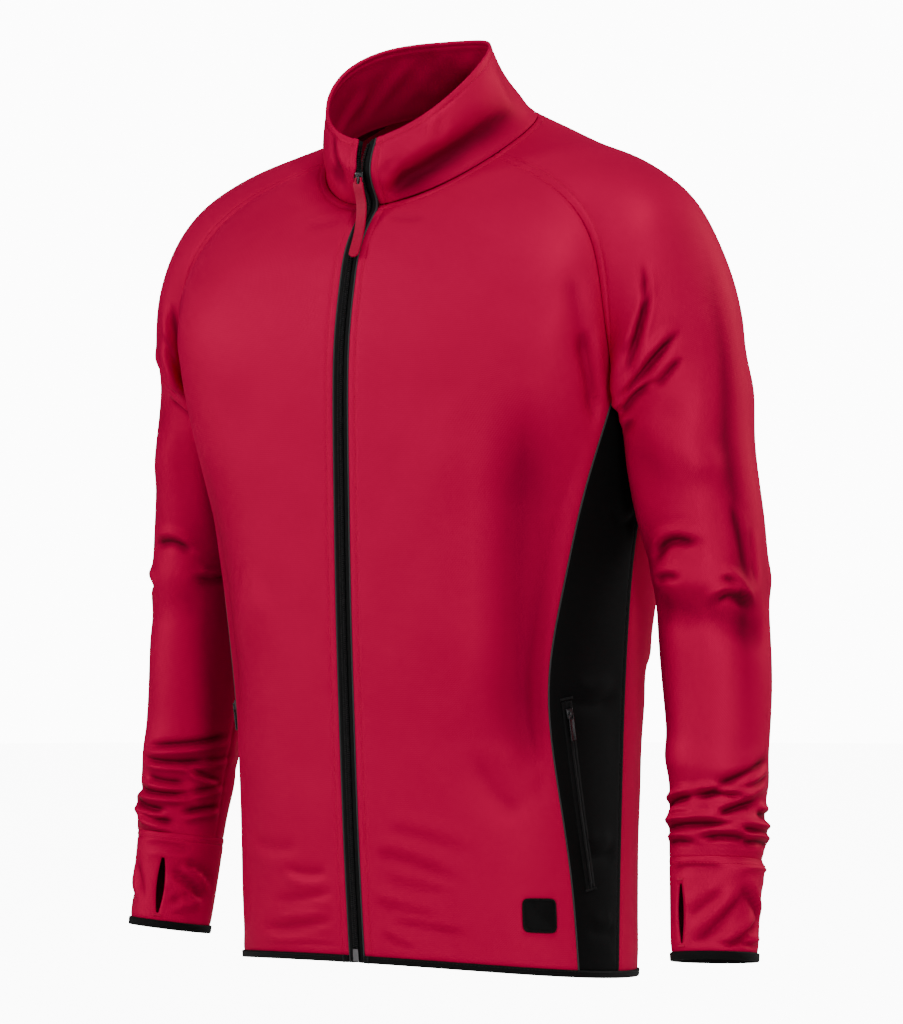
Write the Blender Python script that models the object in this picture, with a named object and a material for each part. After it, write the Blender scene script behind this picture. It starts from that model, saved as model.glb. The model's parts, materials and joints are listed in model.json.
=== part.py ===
"""A zip-up fleece jacket for the upper body, in the filled-out form that it has when worn.

The units are metres. +Z is up, the front faces -Y, and the wearer's left is at +X. The origin is at the base
of the neck, midway between the shoulders, which carry the jacket.
"""

import math

import bmesh
import bpy
import numpy as np

# Cloth and seams
CLOTH = 0.0016  # thickness of the brushed knit
SEAM_GAP = 0.0003  # left between two sewn pieces
BINDING = 0.0026  # thickness of a bound edge
HEM_BINDING_HEIGHT = 0.006
CUFF_BINDING_HEIGHT = 0.007

# Front zip, measured across from the centre line
TEETH = (0.00015, 0.0026)
TAPE = (0.0029, 0.0064)
PIPING = (0.0067, 0.0078)
FRONT_EDGE = 0.0081
ZIP_PARTING = 0.0035  # how far each side of the zip stands off the centre at the collar's top

# Mesh density
ROWS_BELOW = 12  # rows of a body panel from hem to underarm
ROWS_ABOVE = 8  # rows of a body panel from underarm to neck
FRONT_COLUMNS = 8
BACK_COLUMNS = 14
SIDE_COLUMNS = 4
COLLAR_ROWS = 6
ARM_ROWS = 2  # rows of a sleeve from the underarm to the first ring of the arm
SLEEVE_ROWS = 22
SLEEVE_COLUMNS = 24
CUFF_ROWS = 8
CUFF_COLUMNS = 30

# Levels of the body
UNDERARM = 6.0
NECK = 10.0
COLLAR_EDGE = 11.0  # the collar's top, where levels run on from the neck seam up the collar
UNDERARM_DIP = 0.22  # levels by which the armhole dips between its front and back corners


class Sections:
    """A table of sections that a natural cubic spline runs through. The first column is the position."""

    def __init__(self, columns, rows):
        table = np.array(rows, float)
        self.columns = columns.split()[1:]
        self.knots = table[:, 0]
        self.values = table[:, 1:]
        self.bends = self.second_derivatives()

    def second_derivatives(self):
        steps = np.diff(self.knots)
        count = len(self.knots)
        matrix = np.eye(count)
        right = np.zeros_like(self.values)
        for i in range(1, count - 1):
            matrix[i, i - 1 : i + 2] = steps[i - 1], 2 * (steps[i - 1] + steps[i]), steps[i]
            rise = (self.values[i + 1] - self.values[i]) / steps[i]
            fall = (self.values[i] - self.values[i - 1]) / steps[i - 1]
            right[i] = 6 * (rise - fall)
        return np.linalg.solve(matrix, right)

    def __call__(self, position):
        at = np.clip(np.asarray(position, float), self.knots[0], self.knots[-1])
        i = np.clip(np.searchsorted(self.knots, at, side="right") - 1, 0, len(self.knots) - 2)
        step = (self.knots[i + 1] - self.knots[i])[..., None]
        b = (at - self.knots[i])[..., None] / step
        a = 1 - b
        found = a * self.values[i] + b * self.values[i + 1]
        found += ((a**3 - a) * self.bends[i] + (b**3 - b) * self.bends[i + 1]) * step**2 / 6
        return {name: found[..., k] for k, name in enumerate(self.columns)}


# The body from hem (level 0) over the underarm (6) to the neck seam (10): one closed ring at each level
BODY = Sections(
    "level z_front z_side z_back half_width front back centre_y squareness",
    [
        (0.0, -0.7015, -0.7135, -0.717, 0.1790, 0.1170, 0.118, 0.003, 0.020),
        (1.2, -0.610, -0.612, -0.612, 0.1770, 0.1270, 0.119, 0.005, 0.025),
        (2.4, -0.515, -0.515, -0.515, 0.1780, 0.1360, 0.119, 0.008, 0.030),
        (3.6, -0.420, -0.420, -0.420, 0.1850, 0.1420, 0.122, 0.009, 0.040),
        (4.8, -0.325, -0.325, -0.325, 0.1960, 0.1430, 0.130, 0.007, 0.060),
        (6.0, -0.236, -0.236, -0.236, 0.2100, 0.1416, 0.132, 0.004, 0.080),
        (7.0, -0.185, -0.158, -0.160, 0.2160, 0.1332, 0.126, -0.002, 0.090),
        (8.0, -0.145, -0.089, -0.090, 0.2048, 0.1245, 0.116, -0.004, 0.060),
        (9.0, -0.110, -0.043, -0.030, 0.1578, 0.1130, 0.102, -0.005, 0.030),
        (10.0, -0.078, -0.018, 0.012, 0.0910, 0.0880, 0.084, -0.006, 0.000),
    ],
)

# Angles round the body, in degrees from the front centre, of the seams beside the side panel
SIDE_SEAMS = Sections(
    "level front back",
    [
        (0.0, 70.0, 91.5),
        (1.0, 67.8, 93.0),
        (2.0, 62.6, 93.5),
        (3.0, 59.0, 92.0),
        (4.0, 62.5, 91.0),
        (5.0, 67.5, 94.0),
        (6.0, 74.5, 104.0),
    ],
)

# Angles round the body of the raglan seams, from the underarm to the neck
RAGLAN_SEAMS = Sections(
    "level front back",
    [
        (6.0, 74.5, 104.0),
        (7.0, 68.0, 110.0),
        (8.0, 66.0, 114.0),
        (9.0, 67.0, 117.0),
        (10.0, 67.5, 122.0),
    ],
)

# The collar's top edge, by the angle from the front centre. It stands out by the bulge halfway up.
COLLAR_TOP = Sections(
    "angle z half_width depth bulge",
    [
        (0.0, -0.026, 0.068, 0.062, 0.0110),
        (30.0, -0.0145, 0.069, 0.066, 0.0060),
        (60.0, 0.0085, 0.070, 0.069, 0.0020),
        (90.0, 0.037, 0.070, 0.070, -0.0010),
        (125.0, 0.059, 0.068, 0.069, -0.0050),
        (180.0, 0.067, 0.066, 0.068, -0.0060),
    ],
)
COLLAR_TOP_CENTRE_Y = -0.040

# The left sleeve below its cap: centre of each ring, and how far it reaches each way from there
SLEEVE = Sections(
    "level x y z outward inward forward backward squareness",
    [
        (0.0, 0.2430, 0.014, -0.280, 0.0500, 0.0340, 0.0600, 0.0600, 0.12),
        (1.0, 0.2500, 0.017, -0.325, 0.0495, 0.0440, 0.0540, 0.0550, 0.07),
        (2.0, 0.2570, 0.019, -0.370, 0.0480, 0.0460, 0.0490, 0.0490, 0.01),
        (3.0, 0.2620, 0.019, -0.420, 0.0455, 0.0455, 0.0460, 0.0460, 0.00),
        (4.0, 0.2665, 0.0175, -0.480, 0.0440, 0.0440, 0.0440, 0.0440, 0.00),
        (5.0, 0.2705, 0.012, -0.540, 0.0405, 0.0405, 0.0405, 0.0405, 0.00),
        (6.2, 0.2740, 0.003, -0.612, 0.0380, 0.0380, 0.0380, 0.0380, 0.00),
        (7.6, 0.2790, -0.007, -0.694, 0.0345, 0.0345, 0.0350, 0.0350, 0.00),
    ],
)
CUFF_SEAM = 6.2
SLEEVE_END = 7.6

# The ridge of the left sleeve's cap, over the shoulder from the neck seam (share 0) to the first ring of the
# arm (1). It slopes down to the front by the slope, and a section across it is as full as front and back say.
CAP = Sections(
    "share x y z slope front back",
    [
        (0.00, 0.0910, 0.0010, -0.0145, 0.45, 1.0, 1.0),
        (0.20, 0.1650, 0.0020, -0.0325, 0.25, 1.0, 1.0),
        (0.42, 0.2400, 0.0040, -0.0690, 0.10, 1.0, 1.0),
        (0.58, 0.2690, 0.0070, -0.1190, 0.00, 1.1, 1.1),
        (0.77, 0.2850, 0.0110, -0.1900, 0.00, 1.15, 1.2),
        (0.88, 0.2905, 0.0125, -0.2350, 0.00, 1.2, 1.3),
        (1.00, 0.2930, 0.0140, -0.2800, 0.00, 1.3, 1.4),
    ],
)
# Shares at which the cap's sections end on the raglan seams, and the seams' levels there
CAP_AT_SEAM = ((0.0, 0.20, 0.41, 0.56, 0.73), (10.0, 9.0, 8.0, 7.0, 6.0))
CAP_AT_UNDERARM = 0.88
CAP_LENGTH = 0.38
CAP_MEETS_ARM = 0.55  # the share from which the cap takes on the shape of the arm's first ring

# Soft folds of the left sleeve, each a ridge or trough between two places on it. Turns are in degrees round
# the sleeve: 0 faces the body, 90 the front, 180 outwards and 270 the back.
FOLD_COLUMNS = ("level_1", "turn_1", "level_2", "turn_2", "width", "height")
SLEEVE_FOLDS = (
    (-0.50, 85, 0.30, 130, 0.018, 0.0030),
    (2.20, 60, 2.55, 160, 0.017, 0.0035),
    (2.80, 70, 3.20, 170, 0.016, -0.0035),
    (4.85, 40, 5.10, 160, 0.015, 0.0030),
    (5.70, 60, 5.90, 230, 0.015, 0.0040),
    (2.40, 230, 2.75, 320, 0.018, 0.0035),
    (5.15, 230, 5.45, 330, 0.016, 0.0030),
)
FOLD_LEVEL = 0.06  # metres from one of the sleeve's levels to the next
FOLD_RADIUS = 0.048  # of the sleeve, where turns are measured as lengths
FOLDS_START = -1.4  # the level of the cap at which the folds begin to show

# Thumb hole in the left cuff, facing the front and a little towards the body
THUMB_TURN = 73.0
THUMB_ROWS = (2, 7)  # from and up to these rows of the cuff

# Hardware of the front zip and the pocket zips, in metres
FRONT_SLIDER = {
    "width": 0.0080,
    "height": 0.0100,
    "crown_width": 0.0026,
    "crown_height": 0.0050,
    "rise": 0.0024,
    "seat": 0.0009,
}
POCKET_SLIDER = {
    "width": 0.0064,
    "height": 0.0080,
    "crown_width": 0.0022,
    "crown_height": 0.0040,
    "rise": 0.0020,
    "seat": 0.0020,
}
SLIDER_PLATE = 0.0018
SLOT_PLAY = 0.0003  # between a pull's fork and the crown that it rides on
SLIDER_LEVEL = 10.42
STEP = 0.0003  # how far a cast step's flank leans
FRONT_PULL_WIDTH = 0.0095
FRONT_PULL_THICKNESS = 0.0016
FRONT_PULL = Sections(  # the red tab's middle line, down from the pin
    "down x y z",
    [
        (0.0, 0.0000, -0.1119, -0.0570),
        (1.0, 0.0010, -0.1130, -0.0650),
        (2.0, 0.0026, -0.1112, -0.0800),
        (3.0, 0.0045, -0.1175, -0.1020),
        (4.0, 0.0062, -0.1285, -0.1220),
    ],
)
POCKET_TOP = (2.78, 65.5)  # level and angle of the pocket zip's upper end on the left side panel
POCKET_FOOT = (0.88, 76.0)
POCKET_HALF_WIDTH = 0.0050
POCKET_PULL_LENGTH = 0.022
POCKET_PULL_WIDTH = 0.0052
POCKET_PULL_THICKNESS = 0.0012
POCKET_PIN = 0.0011  # height of the pull's pin above the slider's plate
POCKET_BELOW_TOP = 0.12  # levels from the top of a pocket zip down to its slider
BOX_HEIGHT = 0.011
BOX_WIDTH = 0.0056
BOX_THICKNESS = 0.0034
BOX_LIFT = 0.0012  # how far the box stands out from the form that the jacket's cloth follows
TAPE_LIFT, TAPE_THICKNESS = -0.0003, 0.0010
PIPING_LIFT, PIPING_THICKNESS = 0.0004, 0.0020
TEETH_LIFT, TEETH_THICKNESS = 0.0006, 0.0022

# Square patch above the hem of the left front
PATCH_PLACE = (0.61, 55.6)  # level and angle of its middle
PATCH_SIZE = 0.028
PATCH_LIFT, PATCH_THICKNESS = 0.0013, 0.0009


def mirrored(points):
    return points * np.array([-1.0, 1.0, 1.0])


def unit(vectors):
    return vectors / np.maximum(np.linalg.norm(vectors, axis=-1, keepdims=True), 1e-12)


def squared(turn, square):
    """Cosine and sine of a turn on a ring whose four corners are filled out by the squareness."""
    return (
        (np.cos(turn) - square * np.cos(3 * turn)) / (1 - square),
        (np.sin(turn) + square * np.sin(3 * turn)) / (1 - square),
    )


def body_surface(level, angle):
    """Points of the body's outer side. angle is in degrees, positive towards the wearer's left."""
    row = BODY(level)
    turn = np.radians(angle)
    along, across = squared(turn, row["squareness"])
    depth = np.where(np.cos(turn) > 0, row["front"], row["back"])
    x = row["half_width"] * across
    y = row["centre_y"] - depth * along
    mean = (row["z_front"] + row["z_back"]) / 2
    tilt = (row["z_front"] - row["z_back"]) / 2
    z = (mean + row["z_side"]) / 2 + tilt * np.cos(turn) + (mean - row["z_side"]) / 2 * np.cos(2 * turn)
    return np.stack(np.broadcast_arrays(x, y, z), axis=-1)


def body_normal(level, angle):
    level = np.asarray(level, float)
    up = body_surface(np.minimum(level + 0.02, NECK), angle) - body_surface(np.maximum(level - 0.02, 0), angle)
    round_it = body_surface(level, angle + 0.5) - body_surface(level, angle - 0.5)
    return unit(np.cross(round_it, up))


def seam_normal(level, angle):
    """The body's normal, turned at the neck and under the arm so that both sides of a seam share it."""
    normal = body_normal(level, angle)
    turn = np.radians(angle)
    level = np.asarray(level, float)
    outward = np.stack(np.broadcast_arrays(np.sin(turn), -np.cos(turn), 0 * level), axis=-1)
    at_neck = np.clip(level - NECK + 1, 0, 1)[..., None] ** 4
    return unit(normal + at_neck * outward)


def collar_surface(share, angle):
    """Points of the collar's outer side, from the neck seam (share 0) to its top edge (1)."""
    turn = np.radians(angle)
    base = body_surface(np.full(np.shape(angle), NECK), angle)
    top = COLLAR_TOP(np.abs(np.where(angle > 180, 360 - angle, angle)))
    edge = np.stack(
        [top["half_width"] * np.sin(turn), COLLAR_TOP_CENTRE_Y - top["depth"] * np.cos(turn), top["z"]], axis=-1
    )
    out = np.stack([np.sin(turn), -np.cos(turn), 0 * turn], axis=-1)
    share = np.asarray(share, float)[..., None]
    return base + (edge - base) * share + top["bulge"][..., None] * np.sin(np.pi * share) * out


def zip_angle(level, x):
    """Angle at which a point lies x from the centre line, on the body or, past the neck seam, on the collar."""
    row = BODY(np.minimum(level, NECK))
    slope = row["half_width"] * (1 + 3 * row["squareness"]) / (1 - row["squareness"])
    share = np.clip(level - NECK, 0, 1)
    slope = slope + (COLLAR_TOP(0.0)["half_width"] - slope) * share
    parted = np.clip((level - SLIDER_LEVEL) / (COLLAR_EDGE - SLIDER_LEVEL), 0, 1) ** 1.5 * ZIP_PARTING
    return np.degrees((x + np.sign(x) * parted) / slope)


def zip_surface(level, x):
    level, x = np.broadcast_arrays(np.asarray(level, float), np.asarray(x, float))
    angle = zip_angle(level, x)
    below = body_surface(np.minimum(level, NECK), angle)
    above = collar_surface(np.clip(level - NECK, 0, 1), angle)
    return np.where((level <= NECK)[..., None], below, above)


def zip_normal(level, x):
    level = np.asarray(level, float)
    x = np.asarray(x, float)
    up = zip_surface(np.minimum(level + 0.15, COLLAR_EDGE), x) - zip_surface(np.maximum(level - 0.15, 0), x)
    return unit(np.cross(np.array([1.0, 0.0, 0.0]), up))


def grid_normals(points, closed):
    """Normals of a grid of points whose first index runs up and whose second runs round."""
    up = np.gradient(points, axis=0)
    if closed:
        round_it = np.roll(points, -1, axis=1) - np.roll(points, 1, axis=1)
    else:
        round_it = np.gradient(points, axis=1)
    return unit(np.cross(round_it, up))


def pull_in(points, closed):
    """Moves the outline of a grid in by half the gap that a seam keeps."""
    moved = points.copy()
    inset = SEAM_GAP / 2
    moved[0] += inset * unit(points[1] - points[0])
    moved[-1] += inset * unit(points[-2] - points[-1])
    if not closed:
        moved[:, 0] += inset * unit(points[:, 1] - points[:, 0])
        moved[:, -1] += inset * unit(points[:, -2] - points[:, -1])
    return moved


def paint(name, colour, roughness, metallic=0.0):
    material = bpy.data.materials.new(name)
    material.use_nodes = True
    shader = material.node_tree.nodes["Principled BSDF"]
    shader.inputs["Base Color"].default_value = (*colour, 1.0)
    shader.inputs["Roughness"].default_value = roughness
    shader.inputs["Metallic"].default_value = metallic
    return material


def welded(shape, points):
    """Vertices at the points of a grid, with one vertex wherever two points are the same."""
    known = {}
    for row in points:
        for p in row:
            place = tuple(np.round(p, 7))
            if place not in known:
                known[place] = shape.verts.new(p)
    return [[known[tuple(np.round(p, 7))] for p in row] for row in points]


def shell(name, outer, inner, closed, material, left_out=()):
    """A closed solid between two grids of points. left_out holds the (row, column) of faces that a hole takes."""
    rows, columns = outer.shape[:2]
    shape = bmesh.new()
    layers = [welded(shape, layer) for layer in (outer, inner)]
    for i in range(rows - 1):
        for j in range(columns if closed else columns - 1):
            if (i, j) in left_out:
                continue
            k = (j + 1) % columns
            places = [(i, j), (i, k), (i + 1, k), (i + 1, j)]
            if np.linalg.norm(outer[i, j] - outer[i + 1, k]) > np.linalg.norm(outer[i, k] - outer[i + 1, j]):
                places = places[1:] + places[:1]
            for half in ((0, 1, 2), (0, 2, 3)):
                shape.faces.new([layers[0][places[at][0]][places[at][1]] for at in half])
                shape.faces.new([layers[1][places[at][0]][places[at][1]] for at in half[::-1]])
    partner = {
        front: back
        for front_row, back_row in zip(*layers, strict=True)
        for front, back in zip(front_row, back_row, strict=True)
    }
    for edge in [e for e in shape.edges if len(e.link_faces) == 1 and e.verts[0] in partner]:
        loop = edge.link_loops[0]
        start, end = loop.vert, loop.link_loop_next.vert
        rim = [end, start, partner[start], partner[end]]
        first = 1 if start.co.z < end.co.z else 0  # both sides of a seam are split at their lower corner
        shape.faces.new([rim[first], rim[first + 1], rim[(first + 2) % 4]])
        shape.faces.new([rim[first], rim[(first + 2) % 4], rim[(first + 3) % 4]])
    bmesh.ops.delete(shape, geom=[v for v in shape.verts if not v.link_faces], context="VERTS")
    mesh = bpy.data.meshes.new(name)
    shape.to_mesh(mesh)
    shape.free()
    mesh.materials.append(material)
    mesh.shade_smooth()
    mesh.set_sharp_from_angle(angle=math.radians(40))
    made = bpy.data.objects.new(name, mesh)
    bpy.context.scene.collection.objects.link(made)
    return made


def both_sides(name, outer, inner, closed, material, **more):
    """A piece on the wearer's left, and the same piece on the right."""
    shell(f"{name}_left", outer, inner, closed, material, **more)
    columns = outer.shape[1] - (0 if closed else 1)
    last = columns - 2 if closed else columns - 1
    if "left_out" in more:
        more["left_out"] = [(i, (last - j) % columns) for i, j in more["left_out"]]
    shell(f"{name}_right", mirrored(outer)[:, ::-1], mirrored(inner)[:, ::-1], closed, material, **more)


def cloth(points, normals, closed, thickness=CLOTH):
    """The outer and inner points of a panel, pulled in at its seams."""
    outer = pull_in(points, closed)
    return outer, outer - thickness * normals


def hem_level(angle):
    """Level at which the panels end and the hem binding begins."""
    rise = body_surface(np.full(np.shape(angle), 0.1), angle)[..., 2] - body_surface(0 * angle, angle)[..., 2]
    return 0.1 * HEM_BINDING_HEIGHT / rise


def body_levels():
    below = np.linspace(0.0, UNDERARM, ROWS_BELOW + 1)
    above = np.linspace(UNDERARM, NECK, ROWS_ABOVE + 1)
    return np.concatenate([below, above[1:]])


def edge_angle(level, name):
    """Angle of the side panel's seam below the underarm, and of the raglan seam above it."""
    below = SIDE_SEAMS(np.minimum(level, UNDERARM))[name]
    above = RAGLAN_SEAMS(np.maximum(level, UNDERARM))[name]
    return np.where(level < UNDERARM, below, above)


def underarm_level(share):
    """Level of the armhole's lowest stretch, from its front corner (0) to its back corner (1)."""
    return UNDERARM - UNDERARM_DIP * np.sin(np.pi * share)


def panel(levels, angles):
    """Points and normals of a body panel, ending above the hem binding."""
    levels = np.where(levels <= 0, hem_level(angles), levels)
    normals = seam_normal(levels, angles)
    return body_surface(levels, angles), normals


def front_panel():
    levels, share = np.meshgrid(body_levels(), np.linspace(0, 1, FRONT_COLUMNS + 1), indexing="ij")
    start = zip_angle(levels, FRONT_EDGE)
    angles = start + (edge_angle(levels, "front") - start) * share
    points, normals = panel(levels, angles)
    normals[ROWS_BELOW:, -1] = armhole_normal(cap_shares()[ROWS_ABOVE::-1], "front")
    return points, normals


def back_panel():
    levels, share = np.meshgrid(body_levels(), np.linspace(0, 1, BACK_COLUMNS + 1), indexing="ij")
    start = edge_angle(levels, "back")
    angles = start + (360 - 2 * start) * share
    points, normals = panel(levels, angles)
    normals[ROWS_BELOW:, 0] = armhole_normal(cap_shares()[ROWS_ABOVE::-1], "back")
    normals[ROWS_BELOW:, -1] = mirrored(normals[ROWS_BELOW:, 0])
    return points, normals


def side_panel():
    rows, share = np.meshgrid(
        np.linspace(0, 1, ROWS_BELOW + 1), np.linspace(0, 1, SIDE_COLUMNS + 1), indexing="ij"
    )
    levels = rows * underarm_level(share)
    seams = SIDE_SEAMS(levels)
    angles = seams["front"] + (seams["back"] - seams["front"]) * share
    points, normals = panel(levels, angles)
    half = SIDE_COLUMNS // 2
    under = cap_shares()[ROWS_ABOVE : ROWS_ABOVE + half + 1]
    before, behind = armhole_normal(under, "front"), armhole_normal(under, "back")
    normals[-1] = np.concatenate([before[:half], unit(before[half:] + behind[half:]), behind[half - 1 :: -1]])
    return points, normals


def sleeve_ring(level, turn):
    """Points of the left sleeve below its cap. turn is in radians, 0 at the inside and pi/2 at the front."""
    row = SLEEVE(level)
    centre = np.stack([row["x"], row["y"], row["z"]], axis=-1)
    down = sleeve_down(level)
    out = unit(np.cross(np.array([0.0, -1.0, 0.0]), down))
    front = unit(np.cross(down, out))
    inside, ahead = squared(turn, np.where(np.cos(turn) > 0, row["squareness"], 0))
    reach_in = np.where(np.cos(turn) > 0, row["inward"], row["outward"]) * inside
    reach_front = np.where(np.sin(turn) > 0, row["forward"], row["backward"]) * ahead
    return centre - reach_in[..., None] * out + reach_front[..., None] * front


def sleeve_down(level):
    ahead = SLEEVE(np.asarray(level, float) + 0.05)
    behind = SLEEVE(np.asarray(level, float) - 0.05)
    return unit(np.stack([ahead[k] - behind[k] for k in "xyz"], axis=-1))


def armhole_place(share, side):
    """Level and angle on the body of a place on the front or back half of the left armhole."""
    level = np.interp(share, *CAP_AT_SEAM)
    corner = CAP_AT_SEAM[0][-1]
    half = np.clip((share - corner) / (CAP_AT_UNDERARM - corner), 0, 1) / 2
    across = half if side == "front" else 1 - half
    low = underarm_level(across)
    seams = SIDE_SEAMS(low)
    low_angle = seams["front"] + (seams["back"] - seams["front"]) * across
    return np.where(share < corner, level, low), np.where(share < corner, RAGLAN_SEAMS(level)[side], low_angle)


def cap_edge(share, side):
    """Ends of the cap's sections at the front or back: on the armhole, then on a line down from the underarm."""
    edge = body_surface(*armhole_place(share, side))
    lowest = body_surface(*armhole_place(np.array([CAP_AT_UNDERARM]), side))
    inside = sleeve_ring(np.zeros(1), np.zeros(1))
    below = np.clip((share - CAP_AT_UNDERARM) / (1 - CAP_AT_UNDERARM), 0, 1)[..., None]
    return edge + (inside - lowest) * below


def cap_section(share, across, side):
    """Points of a section across the cap, from its ridge (across 0) to the front or back seam (1)."""
    row = CAP(share)
    ridge = np.stack([row["x"], row["y"], row["z"]], axis=-1)
    forwards = -1.0 if side == "front" else 1.0
    leaving = unit(np.stack([0 * share, forwards + 0 * share, forwards * row["slope"]], axis=-1))
    edge = cap_edge(share, side)
    chord = edge - ridge
    length = np.linalg.norm(chord, axis=-1, keepdims=True)
    cosine = np.sum(leaving * chord, axis=-1, keepdims=True) / length
    arriving = 2 * cosine * chord / length - leaving
    under = np.clip((share - CAP_AT_SEAM[0][-2]) / (CAP_AT_UNDERARM - CAP_AT_SEAM[0][-2]), 0, 1)[..., None]
    arriving = unit(arriving * (1 - under) + under * np.array([0.0, -forwards, 0.0]))
    reach = row[side][..., None] * 2 * length / (1 + cosine)
    u = across[..., None]
    points = (2 * u**3 - 3 * u**2 + 1) * ridge + (3 * u**2 - 2 * u**3) * edge
    return points + reach * ((u**3 - 2 * u**2 + u) * leaving + (u**3 - u**2) * arriving)


def cap_surface(share, across):
    """Points of the cap. across runs from -1 at the front seam over the ridge to 1 at the back seam."""
    found = []
    for side in ("front", "back"):
        u = np.abs(across)
        turn = np.pi * (1 + across)
        points = cap_section(share, u, side)
        misfit = sleeve_ring(0 * share, turn) - cap_section(0 * share + 1, u, side)
        near = np.clip((share - CAP_MEETS_ARM) / (1 - CAP_MEETS_ARM), 0, 1)[..., None]
        found.append(points + near**2 * (3 - 2 * near) * misfit)
    return np.where((across < 0)[..., None], *found)


def cap_normal(share, across):
    down = cap_surface(np.minimum(share + 0.01, 1), across) - cap_surface(np.maximum(share - 0.01, 0), across)
    backwards = cap_surface(share, np.minimum(across + 0.04, 1)) - cap_surface(share, np.maximum(across - 0.04, -1))
    return unit(np.cross(down, backwards))


def armhole_normal(share, side):
    """The normal that both sides of the armhole's seam share."""
    beside = cap_normal(share, np.full(np.shape(share), -1.0 if side == "front" else 1.0))
    from_neck = np.clip(share / 0.1, 0, 1)[..., None]
    under = np.clip(1 - (CAP_AT_UNDERARM - share) / 0.3, 0, 1)[..., None]
    body = seam_normal(*armhole_place(share, side))
    return unit(body + from_neck * beside + under * np.array([0.0, 0.0, -0.6]))


def cap_shares():
    """Shares down the ridge of the cap's rows, which end on the rows of the panels beside it."""
    falling = np.interp(-np.linspace(NECK, UNDERARM, ROWS_ABOVE + 1), -np.array(CAP_AT_SEAM[1]), CAP_AT_SEAM[0])
    under = np.linspace(CAP_AT_SEAM[0][-1], CAP_AT_UNDERARM, SIDE_COLUMNS // 2 + 1)[1:]
    return np.concatenate([falling, under, np.linspace(CAP_AT_UNDERARM, 1, ARM_ROWS + 1)[1:]])


def fold_lift(level, turn, girth):
    """How far the folds lift the sleeve at each level and turn (in degrees). girth is metres per degree."""
    lift = np.zeros(np.broadcast(level, turn).shape)
    for values in SLEEVE_FOLDS:
        fold = dict(zip(FOLD_COLUMNS, values, strict=True))
        ends = [np.array([fold[f"level_{k}"] * FOLD_LEVEL, fold[f"turn_{k}"] * girth]) for k in (1, 2)]
        along = ends[1] - ends[0]
        place = np.stack(np.broadcast_arrays(level * FOLD_LEVEL, turn * girth), axis=-1) - ends[0]
        share = np.clip(place @ along / (along @ along), 0, 1)
        away = np.linalg.norm(place - share[..., None] * along, axis=-1)
        lift += fold["height"] * np.exp(-((away / fold["width"]) ** 2))
    return lift


def sleeve_grid():
    """Points and normals of the left sleeve, down from the neck. Its sides part above the underarm."""
    shares = cap_shares()
    across = np.linspace(1, -1, SLEEVE_COLUMNS + 1)
    cap = cap_surface(*np.meshgrid(shares, across, indexing="ij"))
    seams = RAGLAN_SEAMS(NECK)
    neck_angles = (seams["front"] + seams["back"]) / 2 + (seams["back"] - seams["front"]) / 2 * across
    cap[0] = body_surface(np.full(across.shape, NECK), neck_angles)
    levels = np.linspace(0, CUFF_SEAM, SLEEVE_ROWS + 1)[1:]
    arm = sleeve_ring(*np.meshgrid(levels, np.pi * (1 + across), indexing="ij"))
    points = np.concatenate([cap, arm])
    normals = grid_normals(points, False)
    normals[0] = seam_normal(np.full(across.shape, NECK), neck_angles)
    parted = shares <= CAP_AT_UNDERARM
    for column, side in ((0, "back"), (-1, "front")):
        normals[: parted.sum(), column] = armhole_normal(shares[parted], side)
    joined = unit(normals[:, 0] + normals[:, -1])
    normals[parted.sum() - 1 :, [0, -1]] = joined[parted.sum() - 1 :, None]
    every = np.concatenate([(shares - 1) * CAP_LENGTH / FOLD_LEVEL, levels])[:, None]
    fade = np.clip((every - FOLDS_START) / 0.6, 0, 1) * np.clip((CUFF_SEAM - every) / 0.15, 0, 1)
    girth = math.radians(FOLD_RADIUS)
    points = points + (fade * fold_lift(every, 180 * (1 + across)[None, :], girth))[..., None] * normals
    points[parted.sum() - 1 :, -1] = points[parted.sum() - 1 :, 0]
    return points, normals


def sleeve_cloth():
    """The outer and inner points of the left sleeve, pulled in at its seams."""
    points, normals = sleeve_grid()
    outer = pull_in(points, True)
    lowest = np.sum(cap_shares() < CAP_AT_UNDERARM)
    sides = pull_in(points[:lowest], False)
    outer[:lowest, [0, -1]] += sides[:, [0, -1]] - points[:lowest, [0, -1]]
    outer[lowest, [0, -1]] += SEAM_GAP / 2 * unit(points[lowest + 1, 0] - points[lowest, 0])
    outer[0, [0, -1]] = sides[0, [0, -1]]
    return outer, outer - CLOTH * normals


def cuff_turns():
    """Turns of a cuff's columns, with one column over the thumb hole."""
    step = 360 / CUFF_COLUMNS
    return np.radians((THUMB_TURN - step / 2 + step * np.arange(CUFF_COLUMNS)) % 360)


def tube(levels, turns):
    points = np.array([sleeve_ring(np.full(len(turns), level), turns) for level in levels])[:, ::-1]
    return points, grid_normals(points, True)


def binding_start():
    inside = np.array(0.0)
    drop = sleeve_ring(np.array(SLEEVE_END), inside)[2] - sleeve_ring(np.array(SLEEVE_END - 0.1), inside)[2]
    return SLEEVE_END - 0.1 * CUFF_BINDING_HEIGHT / abs(drop)


def collar_angles(share):
    """Angles of the collar's columns, in line with the pieces that it is sewn to."""
    front = zip_angle(NECK + share, FRONT_EDGE)
    seam = RAGLAN_SEAMS(NECK)
    left = [
        np.linspace(front, seam["front"], FRONT_COLUMNS + 1),
        np.linspace(seam["front"], seam["back"], SLEEVE_COLUMNS + 1)[1:],
        np.linspace(seam["back"], 180, BACK_COLUMNS // 2 + 1)[1:],
    ]
    left = np.concatenate(left)
    return np.concatenate([left, 360 - left[-2::-1]])


def make_collar(material):
    shares = np.linspace(0, 1, COLLAR_ROWS + 1)
    angles = np.array([collar_angles(share) for share in shares])
    points = collar_surface(shares[:, None] + 0 * angles, angles)
    normals = grid_normals(points, False)
    normals[0] = seam_normal(np.full(angles.shape[1], NECK), angles[0])
    shell("collar", *cloth(points, normals, False), False, material)


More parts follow.
